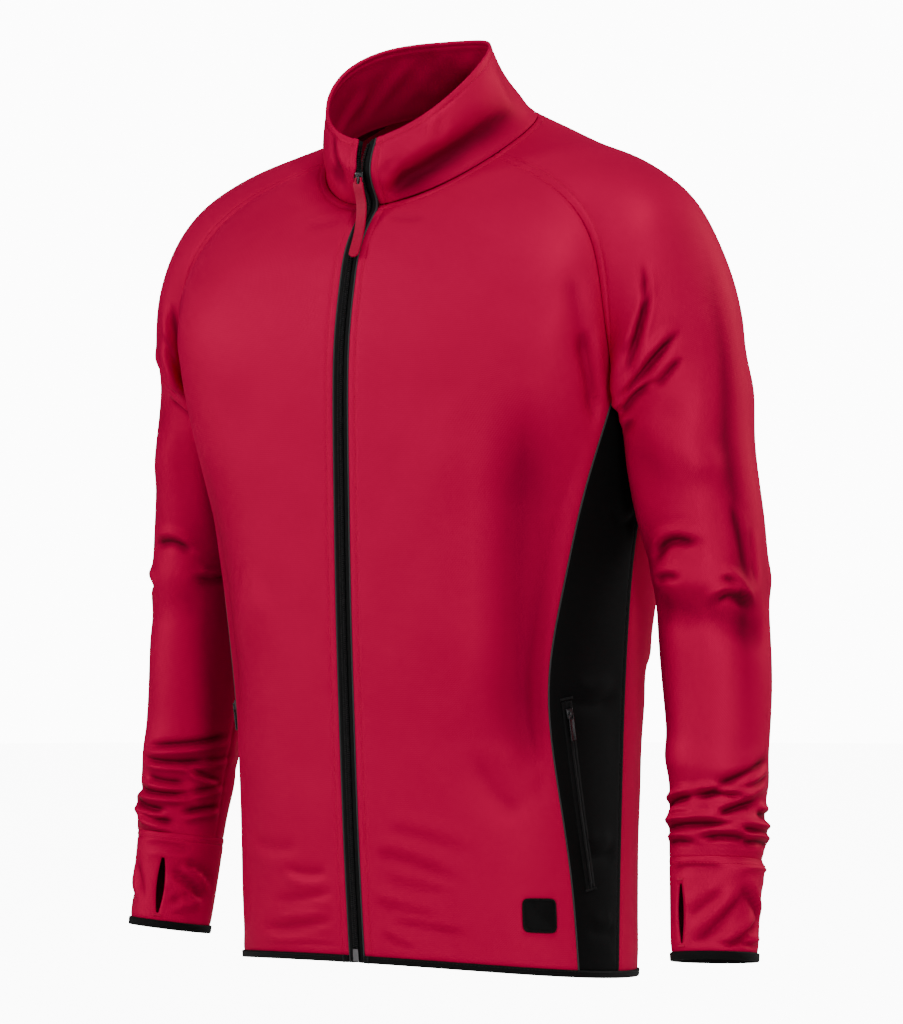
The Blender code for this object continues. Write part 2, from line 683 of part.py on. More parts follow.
def make_hem_binding(material):
    edges = SIDE_SEAMS(0.0)
    left = [
        np.linspace(zip_angle(0.0, FRONT_EDGE), edges["front"], FRONT_COLUMNS + 1),
        np.linspace(edges["front"], edges["back"], SIDE_COLUMNS + 1)[1:],
        np.linspace(edges["back"], 180, BACK_COLUMNS // 2 + 1)[1:],
    ]
    left = np.concatenate(left)
    angles = np.concatenate([left, 360 - left[-2::-1]])
    levels = np.stack([0 * angles, hem_level(angles)])
    angles = np.stack([angles, angles])
    normals = body_normal(levels, angles)
    outer = pull_in(body_surface(levels, angles), False) + (BINDING - CLOTH) / 2 * normals
    shell("hem_binding", outer, outer - BINDING * normals, False, material)


def zip_strip(name, edges, levels, lift, thickness, material):
    """A strip along the zip between two distances from its middle, on both sides."""
    level, x = np.meshgrid(levels, np.array(edges), indexing="ij")
    normals = zip_normal(level, x)
    outer = zip_surface(level, x) + lift * normals
    both_sides(name, outer, outer - thickness * normals, False, material)


def stepped(half, crown_half):
    """Places across a cast plate with a raised crown, and which of them lie on the crown."""
    places = [-half, -crown_half - STEP, -crown_half, 0.0, crown_half, crown_half + STEP, half]
    return np.array(places), np.array([0, 0, 1, 1, 1, 0, 0])


def slider_shape(size):
    """Outer and inner points of a slider, as (up, across, lift) from its middle."""
    across, crown_across = stepped(size["width"] / 2, size["crown_width"] / 2)
    up, crown_up = stepped(size["height"] / 2, size["crown_height"] / 2)
    up, across = np.meshgrid(up, across, indexing="ij")
    crown = crown_up[:, None] * crown_across[None, :]
    taper = 1 - 0.22 * np.clip(-up / size["height"] + 0.5, 0, 1) * (1 - crown)
    lift = size["seat"] + SLIDER_PLATE + size["rise"] * crown
    outer = np.stack([up, across * taper, lift], -1)
    return outer, np.stack([up, across * taper, size["seat"] + 0 * lift], -1)


def on_front_zip(local):
    """Places (up, across, lift) from the front slider's middle, as points."""
    foot = zip_surface(SLIDER_LEVEL, 0.0)
    above = zip_surface(SLIDER_LEVEL + 0.1, 0.0)
    up = unit(above - foot)
    normal = unit(np.cross(np.array([1.0, 0.0, 0.0]), up))
    return foot + local[..., :1] * up + local[..., 1:2] * np.array([1.0, 0.0, 0.0]) + local[..., 2:] * normal


def pocket_angle(level):
    share = (level - POCKET_FOOT[0]) / (POCKET_TOP[0] - POCKET_FOOT[0])
    return POCKET_FOOT[1] + (POCKET_TOP[1] - POCKET_FOOT[1]) * share


def pocket_axes(level):
    """A point of the left pocket zip's middle line, with its upward, backward and outward directions there."""
    foot = body_surface(level, pocket_angle(level))
    up = unit(body_surface(level + 0.05, pocket_angle(level + 0.05)) - foot)
    normal = body_normal(level, pocket_angle(level))
    normal = unit(normal - np.sum(normal * up, -1, keepdims=True) * up)
    return foot, up, unit(np.cross(up, normal)), normal


def on_pocket(local):
    """Places (up, across, lift) from the left pocket slider's middle, as points."""
    foot, up, across, normal = pocket_axes(POCKET_TOP[0] - POCKET_BELOW_TOP)
    return foot + local[..., :1] * up + local[..., 1:2] * across + local[..., 2:] * normal


def make_front_zip(black, grey, metal, red):
    below, above = np.linspace(0, UNDERARM, 13), np.linspace(UNDERARM, NECK, 13)
    full = np.concatenate([below, above[1:], [10.2, SLIDER_LEVEL, 10.7, COLLAR_EDGE]])
    zip_strip("zip_tape", TAPE, full, TAPE_LIFT, TAPE_THICKNESS, black)
    zip_strip("piping", PIPING, full, PIPING_LIFT, PIPING_THICKNESS, grey)
    box_top = 0.1 * BOX_HEIGHT / (zip_surface(0.1, 0.0)[2] - zip_surface(0.0, 0.0)[2])
    teeth = np.concatenate([[box_top + 0.004], full[1:]])
    zip_strip("zip_teeth", TEETH, teeth, TEETH_LIFT, TEETH_THICKNESS, black)
    level, x = np.meshgrid([0.004, box_top], np.array([-BOX_WIDTH, BOX_WIDTH]) / 2, indexing="ij")
    normals = zip_normal(level, x)
    outer = zip_surface(level, x) + BOX_LIFT * normals
    shell("zip_box", outer, outer - BOX_THICKNESS * normals, False, metal)
    outer, inner = slider_shape(FRONT_SLIDER)
    shell("zip_slider", on_front_zip(outer), on_front_zip(inner), False, metal)
    make_front_pull(red)


def make_front_pull(material):
    """The red tab, forked at its top round the slider's crown."""
    down = np.array([-0.12, 0.0, 0.45, 0.62, 1.2, 1.7, 2.2, 2.7, 3.2, 3.6, 4.0])
    path = FRONT_PULL(np.clip(down, 0, 4))
    middle = np.stack([path["x"], path["y"], path["z"]], -1)
    middle[0] += unit(middle[1] - middle[2]) * 0.0009
    slot = FRONT_SLIDER["crown_width"] / 2 + STEP + SLOT_PLAY
    across = np.array([-FRONT_PULL_WIDTH / 2, -slot, slot, FRONT_PULL_WIDTH / 2])[None, :, None]
    narrow = np.where(down[:, None, None] < 0.5, 0.72, 1.0)
    narrow = np.where(np.abs(across) <= slot, 1.0, narrow)
    points = middle[:, None] + across * narrow * np.array([1.0, 0.0, 0.0])
    ahead = np.gradient(middle, axis=0)
    normals = unit(np.cross(ahead, np.array([1.0, 0.0, 0.0])))[:, None]
    half = FRONT_PULL_THICKNESS / 2
    outer, inner = points + half * normals, points - half * normals
    shell("zip_pull", outer[::-1], inner[::-1], False, material, left_out=[(9, 1), (8, 1)])


def make_pockets(black, metal):
    levels = np.linspace(POCKET_FOOT[0], POCKET_TOP[0], 13)
    across = np.array([-POCKET_HALF_WIDTH, -0.0022, -0.0019, 0.0019, 0.0022, POCKET_HALF_WIDTH])
    lift = np.array([0.0009, 0.0009, 0.0016, 0.0016, 0.0009, 0.0009])
    foot, _, sideways, normal = pocket_axes(levels)
    flat = foot[:, None] + across[None, :, None] * sideways[:, None]
    outer = flat + lift[None, :, None] * normal[:, None]
    inner = flat + 0.0004 * normal[:, None]
    both_sides("pocket_zip", outer, inner, False, black)
    outer, inner = slider_shape(POCKET_SLIDER)
    both_sides("pocket_slider", on_pocket(outer), on_pocket(inner), False, metal)
    pin = POCKET_SLIDER["seat"] + SLIDER_PLATE + POCKET_PIN
    half = POCKET_PULL_THICKNESS / 2
    slot = POCKET_SLIDER["crown_width"] / 2 + STEP + SLOT_PLAY
    down = np.array([-0.0009, 0.0, 0.0026, 0.0040, 0.0090, 0.0160, POCKET_PULL_LENGTH])
    sides = np.array([-POCKET_PULL_WIDTH / 2, -slot, slot, POCKET_PULL_WIDTH / 2])
    up, across = np.meshgrid(-down, sides, indexing="ij")
    outer = np.stack([up, across, np.full(up.shape, pin + half)], -1)[::-1]
    inner = np.stack([up, across, np.full(up.shape, pin - half)], -1)[::-1]
    both_sides("pocket_pull", on_pocket(outer), on_pocket(inner), False, metal, left_out=[(5, 1), (4, 1)])


def make_patch(material):
    place = np.linspace(-0.5, 0.5, 5) * PATCH_SIZE
    up, across = np.meshgrid(place, place, indexing="ij")
    middle = body_surface(*PATCH_PLACE)
    per_level = np.linalg.norm(body_surface(PATCH_PLACE[0] + 0.1, PATCH_PLACE[1]) - middle) / 0.1
    per_degree = np.linalg.norm(body_surface(PATCH_PLACE[0], PATCH_PLACE[1] + 1.0) - middle)
    level, angle = PATCH_PLACE[0] + up / per_level, PATCH_PLACE[1] + across / per_degree
    normals = body_normal(level, angle)
    outer = body_surface(level, angle) + PATCH_LIFT * normals
    shell("patch", outer, outer - PATCH_THICKNESS * normals, False, material)


def build():
    for old in list(bpy.data.objects):
        bpy.data.objects.remove(old, do_unlink=True)
    red = paint("red_knit", (0.43, 0.008, 0.043), 0.75)
    black = paint("black_knit", (0.004, 0.004, 0.004), 0.70)
    tape = paint("zip_tape", (0.006, 0.006, 0.006), 0.60)
    grey = paint("piping", (0.12, 0.12, 0.12), 0.50)
    metal = paint("gunmetal", (0.10, 0.10, 0.10), 0.35, 1.0)
    tab = paint("red_tab", (0.40, 0.01, 0.04), 0.50)
    both_sides("front", *cloth(*front_panel(), False), False, red)
    both_sides("side", *cloth(*side_panel(), False), False, black)
    shell("back", *cloth(*back_panel(), False), False, red)
    both_sides("sleeve", *sleeve_cloth(), False, red)
    bound = binding_start()
    cuff = cloth(*tube(np.linspace(CUFF_SEAM, bound, CUFF_ROWS + 1), cuff_turns()), True)
    hole = [(row, CUFF_COLUMNS - 2) for row in range(*THUMB_ROWS)]
    both_sides("cuff", *cuff, True, red, left_out=hole)
    points, normals = tube(np.array([bound, SLEEVE_END]), cuff_turns())
    outer = pull_in(points, True) + (BINDING - CLOTH) / 2 * normals
    both_sides("cuff_binding", outer, outer - BINDING * normals, True, black)
    make_collar(red)
    make_hem_binding(black)
    make_front_zip(tape, grey, metal, tab)
    make_pockets(tape, metal)
    make_patch(black)


build()
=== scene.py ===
import json
import math

import bmesh
import bpy
import numpy as np
from mathutils import Matrix, Vector

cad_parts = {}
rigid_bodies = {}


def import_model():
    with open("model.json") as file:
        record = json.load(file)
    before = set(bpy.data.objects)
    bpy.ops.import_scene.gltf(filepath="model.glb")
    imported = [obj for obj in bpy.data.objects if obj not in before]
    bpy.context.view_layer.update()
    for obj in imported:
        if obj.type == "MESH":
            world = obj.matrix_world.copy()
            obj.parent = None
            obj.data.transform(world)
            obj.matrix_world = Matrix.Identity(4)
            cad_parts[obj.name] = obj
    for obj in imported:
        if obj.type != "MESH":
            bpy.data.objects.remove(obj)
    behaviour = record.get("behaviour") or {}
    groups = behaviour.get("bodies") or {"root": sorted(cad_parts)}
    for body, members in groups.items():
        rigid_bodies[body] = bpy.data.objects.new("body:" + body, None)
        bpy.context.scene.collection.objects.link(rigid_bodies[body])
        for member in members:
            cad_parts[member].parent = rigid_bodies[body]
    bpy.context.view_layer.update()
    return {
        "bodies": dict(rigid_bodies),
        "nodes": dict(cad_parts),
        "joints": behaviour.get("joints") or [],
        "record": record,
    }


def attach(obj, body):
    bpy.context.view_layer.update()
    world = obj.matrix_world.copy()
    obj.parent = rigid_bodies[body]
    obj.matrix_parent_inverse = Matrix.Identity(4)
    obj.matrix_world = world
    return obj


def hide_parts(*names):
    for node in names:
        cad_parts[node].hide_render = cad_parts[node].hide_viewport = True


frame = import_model()
bpy.ops.object.select_all(action="DESELECT")
mm = 0.001

# camera and studio
camera = {
    "azimuth": 35.0, "target": (0.0, 0.0, -0.331), "distance": 4.2, "pixelsPerMetre": 1190.0,
    "middleX": 436.5, "width": 903, "height": 1024, "sensor": 36.0,
}
turn = math.radians(camera["azimuth"])
away = (math.sin(turn) * camera["distance"], -math.cos(turn) * camera["distance"], 0.0)
bpy.ops.object.camera_add(location=Vector(camera["target"]) + Vector(away), rotation=(math.pi / 2, 0, turn))
shot = bpy.context.object
shot.name = "photoCamera"
shot.data.lens = camera["sensor"] * camera["pixelsPerMetre"] * camera["distance"] / camera["height"]
shot.data.sensor_width = camera["sensor"]
shot.data.shift_x = (camera["width"] / 2 - camera["middleX"]) / camera["height"]
shot.data.clip_end = 60
bpy.context.scene.camera = shot

studio = {
    "floorHeight": -0.8,
    "floorRadius": 6.0,
    "world": 0.11,
    "backdrop": 12.0,
    "floorGlow": 10.5,
    # name, place, aim, size across and up, power, colour
    "lights": [
        ("keyLight", (-0.2, -2.9, 0.4), (0.02, 0.0, -0.45), (0.9, 1.1), 4.0, (1.0, 0.99, 0.98)),
        ("cameraLight", (2.7, -2.3, 0.4), (0.22, 0.0, -0.48), (0.5, 1.2), 46.0, (1.0, 1.0, 1.0)),
        ("rimLight", (1.3, 2.6, 0.8), (0.2, 0.0, -0.35), (0.6, 1.9), 36.0, (1.0, 1.0, 1.0)),
        ("farRimLight", (-2.4, -1.9, 0.4), (-0.25, 0.0, -0.48), (0.45, 1.5), 38.0, (1.0, 1.0, 1.0)),
        ("topLight", (0.9, -0.7, 2.1), (0.05, 0.0, -0.1), (0.8, 0.6), 33.0, (1.0, 1.0, 1.0)),
    ],
}


def newMaterial(name, colour, roughness, metallic=0.0, sheen=0.0, sheenRoughness=0.4, specular=0.5):
    material = bpy.data.materials.new(name)
    material.use_nodes = True
    shader = material.node_tree.nodes["Principled BSDF"]
    for socket, value in (
        ("Base Color", (*colour, 1.0)), ("Roughness", roughness), ("Metallic", metallic),
        ("Sheen Weight", sheen), ("Sheen Roughness", sheenRoughness), ("Specular IOR Level", specular),
    ):
        shader.inputs[socket].default_value = value
    return material, material.node_tree, shader.inputs


def addNode(tree, kind, **values):
    node = tree.nodes.new("ShaderNode" + kind)
    for socket, value in values.items():
        node.inputs[socket.replace("_", " ")].default_value = value
    return node


def joinUp(tree, *pairs):
    for source, target in pairs:
        tree.links.new(source, target)


def calc(tree, operation, *values):
    node = addNode(tree, "Math")
    node.operation = operation
    for socket, value in zip(node.inputs, values):
        if isinstance(value, (int, float)):
            socket.default_value = value
        else:
            tree.links.new(value, socket)
    return node.outputs[0]


def mixColours(tree, share, first, second):
    node = addNode(tree, "Mix")
    node.data_type = "RGBA"
    tree.links.new(share, node.inputs[0])
    for socket, colour in zip(node.inputs[6:8], (first, second)):
        if isinstance(colour, (tuple, list)):
            socket.default_value = (*colour, 1.0)
        else:
            tree.links.new(colour, socket)
    return node.outputs[2]


def lightUp():
    for name, place, aim, size, power, colour in studio["lights"]:
        bpy.ops.object.light_add(type="AREA", location=place)
        lamp = bpy.context.object
        lamp.name = name
        lamp.data.shape = "RECTANGLE"
        lamp.data.size, lamp.data.size_y = size
        lamp.data.energy, lamp.data.color = power, colour
        lamp.rotation_euler = (Vector(aim) - lamp.location).to_track_quat("-Z", "Y").to_euler()
    world = bpy.data.worlds.new("softWhite")
    bpy.context.scene.world = world
    world.use_nodes = True
    tree = world.node_tree
    paper = tree.nodes["Background"].inputs
    paper["Color"].default_value = (1, 1, 1, 1)
    # the backdrop itself is brighter than the light it gives
    seen = addNode(tree, "LightPath").outputs["Is Camera Ray"]
    strength = addNode(tree, "MapRange", To_Min=studio["world"], To_Max=studio["backdrop"])
    joinUp(tree, (seen, strength.inputs["Value"]), (strength.outputs[0], paper["Strength"]))
    bpy.ops.mesh.primitive_circle_add(
        vertices=96, radius=studio["floorRadius"], fill_type="NGON", location=(0, 0, studio["floorHeight"])
    )
    floor = bpy.context.object
    floor.name = "paleFloor"
    pale, tree, shader = newMaterial("palePaper", (0.9, 0.9, 0.9), 0.9, specular=0.1)
    shader["Emission Color"].default_value = (1, 1, 1, 1)
    glow = calc(tree, "MULTIPLY", addNode(tree, "LightPath").outputs["Is Camera Ray"], studio["floorGlow"])
    joinUp(tree, (glow, shader["Emission Strength"]))
    floor.data.materials.append(pale)
    bpy.ops.object.select_all(action="DESELECT")


lightUp()
print("camera and studio stand ready")


# the jacket's own form, as in its solids
def sections(columns, rows):  # a natural cubic spline through each column of a table
    table = np.array(rows, float)
    knots, values = table[:, 0], table[:, 1:]
    steps = np.diff(knots)
    matrix, right = np.eye(len(knots)), np.zeros_like(values)
    for i in range(1, len(knots) - 1):
        matrix[i, i - 1 : i + 2] = steps[i - 1], 2 * (steps[i - 1] + steps[i]), steps[i]
        right[i] = 6 * ((values[i + 1] - values[i]) / steps[i] - (values[i] - values[i - 1]) / steps[i - 1])
    bends = np.linalg.solve(matrix, right)
    names = columns.split()[1:]

    def at(position):
        place = np.clip(np.asarray(position, float), knots[0], knots[-1])
        i = np.clip(np.searchsorted(knots, place, side="right") - 1, 0, len(knots) - 2)
        step = (knots[i + 1] - knots[i])[..., None]
        b = (place - knots[i])[..., None] / step
        a = 1 - b
        found = a * values[i] + b * values[i + 1]
        found = found + ((a**3 - a) * bends[i] + (b**3 - b) * bends[i + 1]) * step**2 / 6
        return {name: found[..., k] for k, name in enumerate(names)}

    return at


underarm, neck, sliderLevel, collarEdge = 6.0, 10.0, 10.42, 11.0  # levels up the body
zipParting = 0.0035  # how far each side of the zip stands off at the collar's top
bodyRow = sections(
    "level zFront zSide zBack halfWidth front back centreY square",
    [
        (0.0, -0.7015, -0.7135, -0.717, 0.179, 0.117, 0.118, 0.003, 0.02),
        (1.2, -0.61, -0.612, -0.612, 0.177, 0.127, 0.119, 0.005, 0.025),
        (2.4, -0.515, -0.515, -0.515, 0.178, 0.136, 0.119, 0.008, 0.03),
        (3.6, -0.42, -0.42, -0.42, 0.185, 0.142, 0.122, 0.009, 0.04),
        (4.8, -0.325, -0.325, -0.325, 0.196, 0.143, 0.13, 0.007, 0.06),
        (6.0, -0.236, -0.236, -0.236, 0.21, 0.1416, 0.132, 0.004, 0.08),
        (7.0, -0.185, -0.158, -0.16, 0.216, 0.1332, 0.126, -0.002, 0.09),
        (8.0, -0.145, -0.089, -0.09, 0.2048, 0.1245, 0.116, -0.004, 0.06),
        (9.0, -0.11, -0.043, -0.03, 0.1578, 0.113, 0.102, -0.005, 0.03),
        (10.0, -0.078, -0.018, 0.012, 0.091, 0.088, 0.084, -0.006, 0.0),
    ],
)
sideSeams = sections(  # angles in degrees from the front centre
    "level front back",
    [
        (0.0, 70.0, 91.5), (1.0, 67.8, 93.0), (2.0, 62.6, 93.5), (3.0, 59.0, 92.0),
        (4.0, 62.5, 91.0), (5.0, 67.5, 94.0), (6.0, 74.5, 104.0),
    ],
)
raglanSeams = sections(
    "level front back",
    [(6.0, 74.5, 104.0), (7.0, 68.0, 110.0), (8.0, 66.0, 114.0), (9.0, 67.0, 117.0), (10.0, 67.5, 122.0)],
)
collarTop = sections(
    "angle z halfWidth depth bulge",
    [
        (0.0, -0.026, 0.068, 0.062, 0.011), (30.0, -0.0145, 0.069, 0.066, 0.006),
        (60.0, 0.0085, 0.07, 0.069, 0.002), (90.0, 0.037, 0.07, 0.07, -0.001),
        (125.0, 0.059, 0.068, 0.069, -0.005), (180.0, 0.067, 0.066, 0.068, -0.006),
    ],
)
collarTopCentreY = -0.04
sleeveRow = sections(
    "level x y z outward inward forward backward square",
    [
        (0.0, 0.243, 0.014, -0.28, 0.05, 0.034, 0.06, 0.06, 0.12),
        (1.0, 0.25, 0.017, -0.325, 0.0495, 0.044, 0.054, 0.055, 0.07),
        (2.0, 0.257, 0.019, -0.37, 0.048, 0.046, 0.049, 0.049, 0.01),
        (3.0, 0.262, 0.019, -0.42, 0.0455, 0.0455, 0.046, 0.046, 0.0),
        (4.0, 0.2665, 0.0175, -0.48, 0.044, 0.044, 0.044, 0.044, 0.0),
        (5.0, 0.2705, 0.012, -0.54, 0.0405, 0.0405, 0.0405, 0.0405, 0.0),
        (6.2, 0.274, 0.003, -0.612, 0.038, 0.038, 0.038, 0.038, 0.0),
        (7.6, 0.279, -0.007, -0.694, 0.0345, 0.0345, 0.035, 0.035, 0.0),
    ],
)
cuffSeam, sleeveEnd = 6.2, 7.6  # levels down the sleeve
capRow = sections(
    "share x y z slope front back",
    [
        (0.0, 0.091, 0.001, -0.0145, 0.45, 1.0, 1.0),
        (0.2, 0.165, 0.002, -0.0325, 0.25, 1.0, 1.0),
        (0.42, 0.24, 0.004, -0.069, 0.1, 1.0, 1.0),
        (0.58, 0.269, 0.007, -0.119, 0.0, 1.1, 1.1),
        (0.77, 0.285, 0.011, -0.19, 0.0, 1.15, 1.2),
        (0.88, 0.2905, 0.0125, -0.235, 0.0, 1.2, 1.3),
        (1.0, 0.293, 0.014, -0.28, 0.0, 1.3, 1.4),
    ],
)
capAtSeam = ((0.0, 0.2, 0.41, 0.56, 0.73), (10.0, 9.0, 8.0, 7.0, 6.0))
capCorner, capUnderarm, capMeetsArm, capShareOfLevel = 0.73, 0.88, 0.55, 0.158
solidFolds = [  # level and turn of both ends, width and height: the folds that the solids have too
    (-0.5, 85, 0.3, 130, 0.018, 0.003),
    (2.2, 60, 2.55, 160, 0.017, 0.0035),
    (2.8, 70, 3.2, 170, 0.016, -0.0035),
    (4.85, 40, 5.1, 160, 0.015, 0.003),
    (5.7, 60, 5.9, 230, 0.015, 0.004),
    (2.4, 230, 2.75, 320, 0.018, 0.0035),
    (5.15, 230, 5.45, 330, 0.016, 0.003),
]


def unit(v):
    return v / np.maximum(np.linalg.norm(v, axis=-1, keepdims=True), 1e-12)


def mirrored(points):
    return points * np.array([-1.0, 1.0, 1.0])


def toSide(side, points):
    return mirrored(points) if side == "right" else points


def ramp(value, start, end):
    t = np.clip((value - start) / (end - start), 0, 1)
    return t * t * (3 - 2 * t)


def squared(turn, square):
    return (
        (np.cos(turn) - square * np.cos(3 * turn)) / (1 - square),
        (np.sin(turn) + square * np.sin(3 * turn)) / (1 - square),
    )


def bodySurface(level, angle):
    row = bodyRow(level)
    turn = np.radians(angle)
    along, across = squared(turn, row["square"])
    depth = np.where(np.cos(turn) > 0, row["front"], row["back"])
    mean, tilt = (row["zFront"] + row["zBack"]) / 2, (row["zFront"] - row["zBack"]) / 2
    z = (mean + row["zSide"]) / 2 + tilt * np.cos(turn) + (mean - row["zSide"]) / 2 * np.cos(2 * turn)
    return np.stack(np.broadcast_arrays(row["halfWidth"] * across, row["centreY"] - depth * along, z), -1)


def bodyNormal(level, angle):
    level = np.asarray(level, float)
    above, below = np.minimum(level + 0.02, neck), np.maximum(level - 0.02, 0)
    up = bodySurface(above, angle) - bodySurface(below, angle)
    return unit(np.cross(bodySurface(level, angle + 0.5) - bodySurface(level, angle - 0.5), up))


def collarSurface(share, angle):
    turn = np.radians(angle)
    base = bodySurface(np.full(np.shape(angle), neck), angle)
    top = collarTop(np.abs(np.where(angle > 180, 360 - angle, angle)))
    y = collarTopCentreY - top["depth"] * np.cos(turn)
    edge = np.stack([top["halfWidth"] * np.sin(turn), y, top["z"]], -1)
    out = np.stack([np.sin(turn), -np.cos(turn), 0 * turn], axis=-1)
    share = np.asarray(share, float)[..., None]
    return base + (edge - base) * share + top["bulge"][..., None] * np.sin(np.pi * share) * out


def zipAngle(level, x):
    row = bodyRow(np.minimum(level, neck))
    slope = row["halfWidth"] * (1 + 3 * row["square"]) / (1 - row["square"])
    slope = slope + (0.068 - slope) * np.clip(level - neck, 0, 1)
    parted = np.clip((level - sliderLevel) / (collarEdge - sliderLevel), 0, 1) ** 1.5 * zipParting
    return np.degrees((x + np.sign(x) * parted) / slope)


def zipSurface(level, x):
    level, x = np.broadcast_arrays(np.asarray(level, float), np.asarray(x, float))
    angle = zipAngle(level, x)
    below = bodySurface(np.minimum(level, neck), angle)
    return np.where((level <= neck)[..., None], below, collarSurface(np.clip(level - neck, 0, 1), angle))


def zipLine(level, x):  # the zip itself rounds the corner at the neck seam
    offsets = (-0.16, -0.08, 0.0, 0.08, 0.16)
    level = np.asarray(level, float)
    return sum(zipSurface(np.clip(level + d, 0, collarEdge), x) for d in offsets) / len(offsets)


def zipNormal(level, x):
    level, x = np.broadcast_arrays(np.asarray(level, float), np.asarray(x, float))
    up = zipSurface(np.minimum(level + 0.15, collarEdge), x) - zipSurface(np.maximum(level - 0.15, 0), x)
    return unit(np.cross(np.array([1.0, 0.0, 0.0]), up))


def underarmLevel(share):
    return underarm - 0.22 * np.sin(np.pi * share)


def sideAngle(level, share):
    seams = sideSeams(level)
    return seams["front"] + (seams["back"] - seams["front"]) * share


def armholePlace(share, side):
    level = np.interp(share, *capAtSeam)
    half = np.clip((share - capCorner) / (capUnderarm - capCorner), 0, 1) / 2
    across = half if side == "front" else 1 - half
    low = underarmLevel(across)
    onSeam = share < capCorner
    return np.where(onSeam, level, low), np.where(onSeam, raglanSeams(level)[side], sideAngle(low, across))


def capEdge(share, side):
    edge = bodySurface(*armholePlace(share, side))
    lowest = bodySurface(*armholePlace(np.array([capUnderarm]), side))
    inside = armRing(np.zeros(1), np.zeros(1))
    below = np.clip((share - capUnderarm) / (1 - capUnderarm), 0, 1)[..., None]
    return edge + (inside - lowest) * below


def capSection(share, across, side):
    row = capRow(share)
    ridge = np.stack([row["x"], row["y"], row["z"]], axis=-1)
    forwards = -1.0 if side == "front" else 1.0
    leaving = unit(np.stack([0 * share, forwards + 0 * share, forwards * row["slope"]], axis=-1))
    edge = capEdge(share, side)
    chord = edge - ridge
    length = np.linalg.norm(chord, axis=-1, keepdims=True)
    cosine = np.sum(leaving * chord, axis=-1, keepdims=True) / length
    arriving = 2 * cosine * chord / length - leaving
    under = np.clip((share - 0.56) / (capUnderarm - 0.56), 0, 1)[..., None]
    arriving = unit(arriving * (1 - under) + under * np.array([0.0, -forwards, 0.0]))
    reach = row[side][..., None] * 2 * length / (1 + cosine)
    u = across[..., None]
    points = (2 * u**3 - 3 * u**2 + 1) * ridge + (3 * u**2 - 2 * u**3) * edge
    return points + reach * ((u**3 - 2 * u**2 + u) * leaving + (u**3 - u**2) * arriving)


def armRing(level, turn):
    row = sleeveRow(level)
    ahead, behind = sleeveRow(np.asarray(level, float) + 0.05), sleeveRow(np.asarray(level, float) - 0.05)
    down = unit(np.stack([ahead[k] - behind[k] for k in "xyz"], axis=-1))
    centre = np.stack([row["x"], row["y"], row["z"]], axis=-1)
    out = unit(np.cross(np.array([0.0, -1.0, 0.0]), down))
    front = unit(np.cross(down, out))
    inside, forward = squared(turn, np.where(np.cos(turn) > 0, row["square"], 0))
    reachIn = np.where(np.cos(turn) > 0, row["inward"], row["outward"]) * inside
    reachFront = np.where(np.sin(turn) > 0, row["forward"], row["backward"]) * forward
    return centre - reachIn[..., None] * out + reachFront[..., None] * front


def sleeveSurface(level, turn):  # turn in degrees: 0 faces the body, 90 the front, 180 outwards
    level, turn = np.broadcast_arrays(np.asarray(level, float), np.asarray(turn, float) % 360)
    share = np.clip(1 + level * capShareOfLevel, 0, 1)
    across = turn / 180 - 1
    found = []
    for side in ("front", "back"):
        u = np.abs(across)
        points = capSection(share, u, side)
        misfit = armRing(0 * share, np.pi * (1 + across)) - capSection(0 * share + 1, u, side)
        found.append(points + ramp(share, capMeetsArm, 1)[..., None] * misfit)
    cap = np.where((across < 0)[..., None], *found)
    return np.where((level < 0)[..., None], cap, armRing(np.maximum(level, 0), np.radians(turn)))


# cloth
cloth = {
    "thickness": 0.0016,
    "rimBulge": 0.0004,  # how far the rounded cut edges meet and press into each other at the seams
    "weld": 0.00002,
    "pitch": 0.0034,  # spacing of the grid that a panel is laid out on
    "seamDip": 0.0004,
    "seamWidth": 0.0018,
    "stitchDip": 0.0006,
    "stitchWidth": 0.0011,
    "stitchLine": 0.0064,  # distance of a topstitch from its seam, here and at the neck and the side panels
    "neckLine": 0.006,
    "sideLine": 0.005,
    "bodyFolds": 2.0,  # how strongly the tables of folds are taken, and how narrow against their rows
    "bodyNarrow": 0.8,
    "broadFold": 0.012,  # a wider fold keeps its width
    "calmEdge": 0.018,  # folds fade out towards sewn edges
    "unevenBody": 0.0005,
    "fullCrease": 0.0022,  # depth, and lean of the cloth downwards, that give a crease its full painted shade
    "fullTurn": 0.55,
    "bodyShade": 0.38,  # share of that painted shade on the body's panels, and of painted shade in the broadest troughs
    "broadShade": 0.34,
    "broadBody": 0.02,
    "fullBroadBody": 0.004,
}
edgeLines = np.array([0.0, 0.7, 1.6, 2.8, 4.2, 5.6, 6.4, 7.2, 8.4, 10.5]) * mm


def arcLengths(points, axis):
    steps = np.linalg.norm(np.diff(points, axis=axis), axis=-1)
    zero = np.zeros_like(np.take(steps, [0], axis=axis))
    return np.concatenate([zero, np.cumsum(steps, axis=axis)], axis=axis)


def placesAlong(length, count):  # distances with extra lines close to sewn edges
    scale = min(1.0, length / 0.034)
    first, last = edgeLines * scale, length - edgeLines[::-1] * scale
    return np.concatenate([first, np.linspace(first[-1], last[0], count + 2)[1:-1], last])


# surface(row, share) over rows; columns keep their distance from the sewn edges in every row
def layOut(surface, rowPlaces, start, end, width, pitch=None):
    shares = np.linspace(0, 1, 161)
    count = max(3, int(width / (pitch or cloth["pitch"])))
    rows = []
    for row in rowPlaces:
        line = surface(row, start(row) + (end(row) - start(row)) * shares)
        lengths = arcLengths(line, 0)
        wanted = placesAlong(lengths[-1], count)
        rows.append(np.interp(wanted, lengths, shares))
    shares = np.array(rows)
    rowGrid = np.array(rowPlaces)[:, None] + 0 * shares
    begin, finish = start(rowGrid), end(rowGrid)
    across = begin + (finish - begin) * shares
    return rowGrid, across


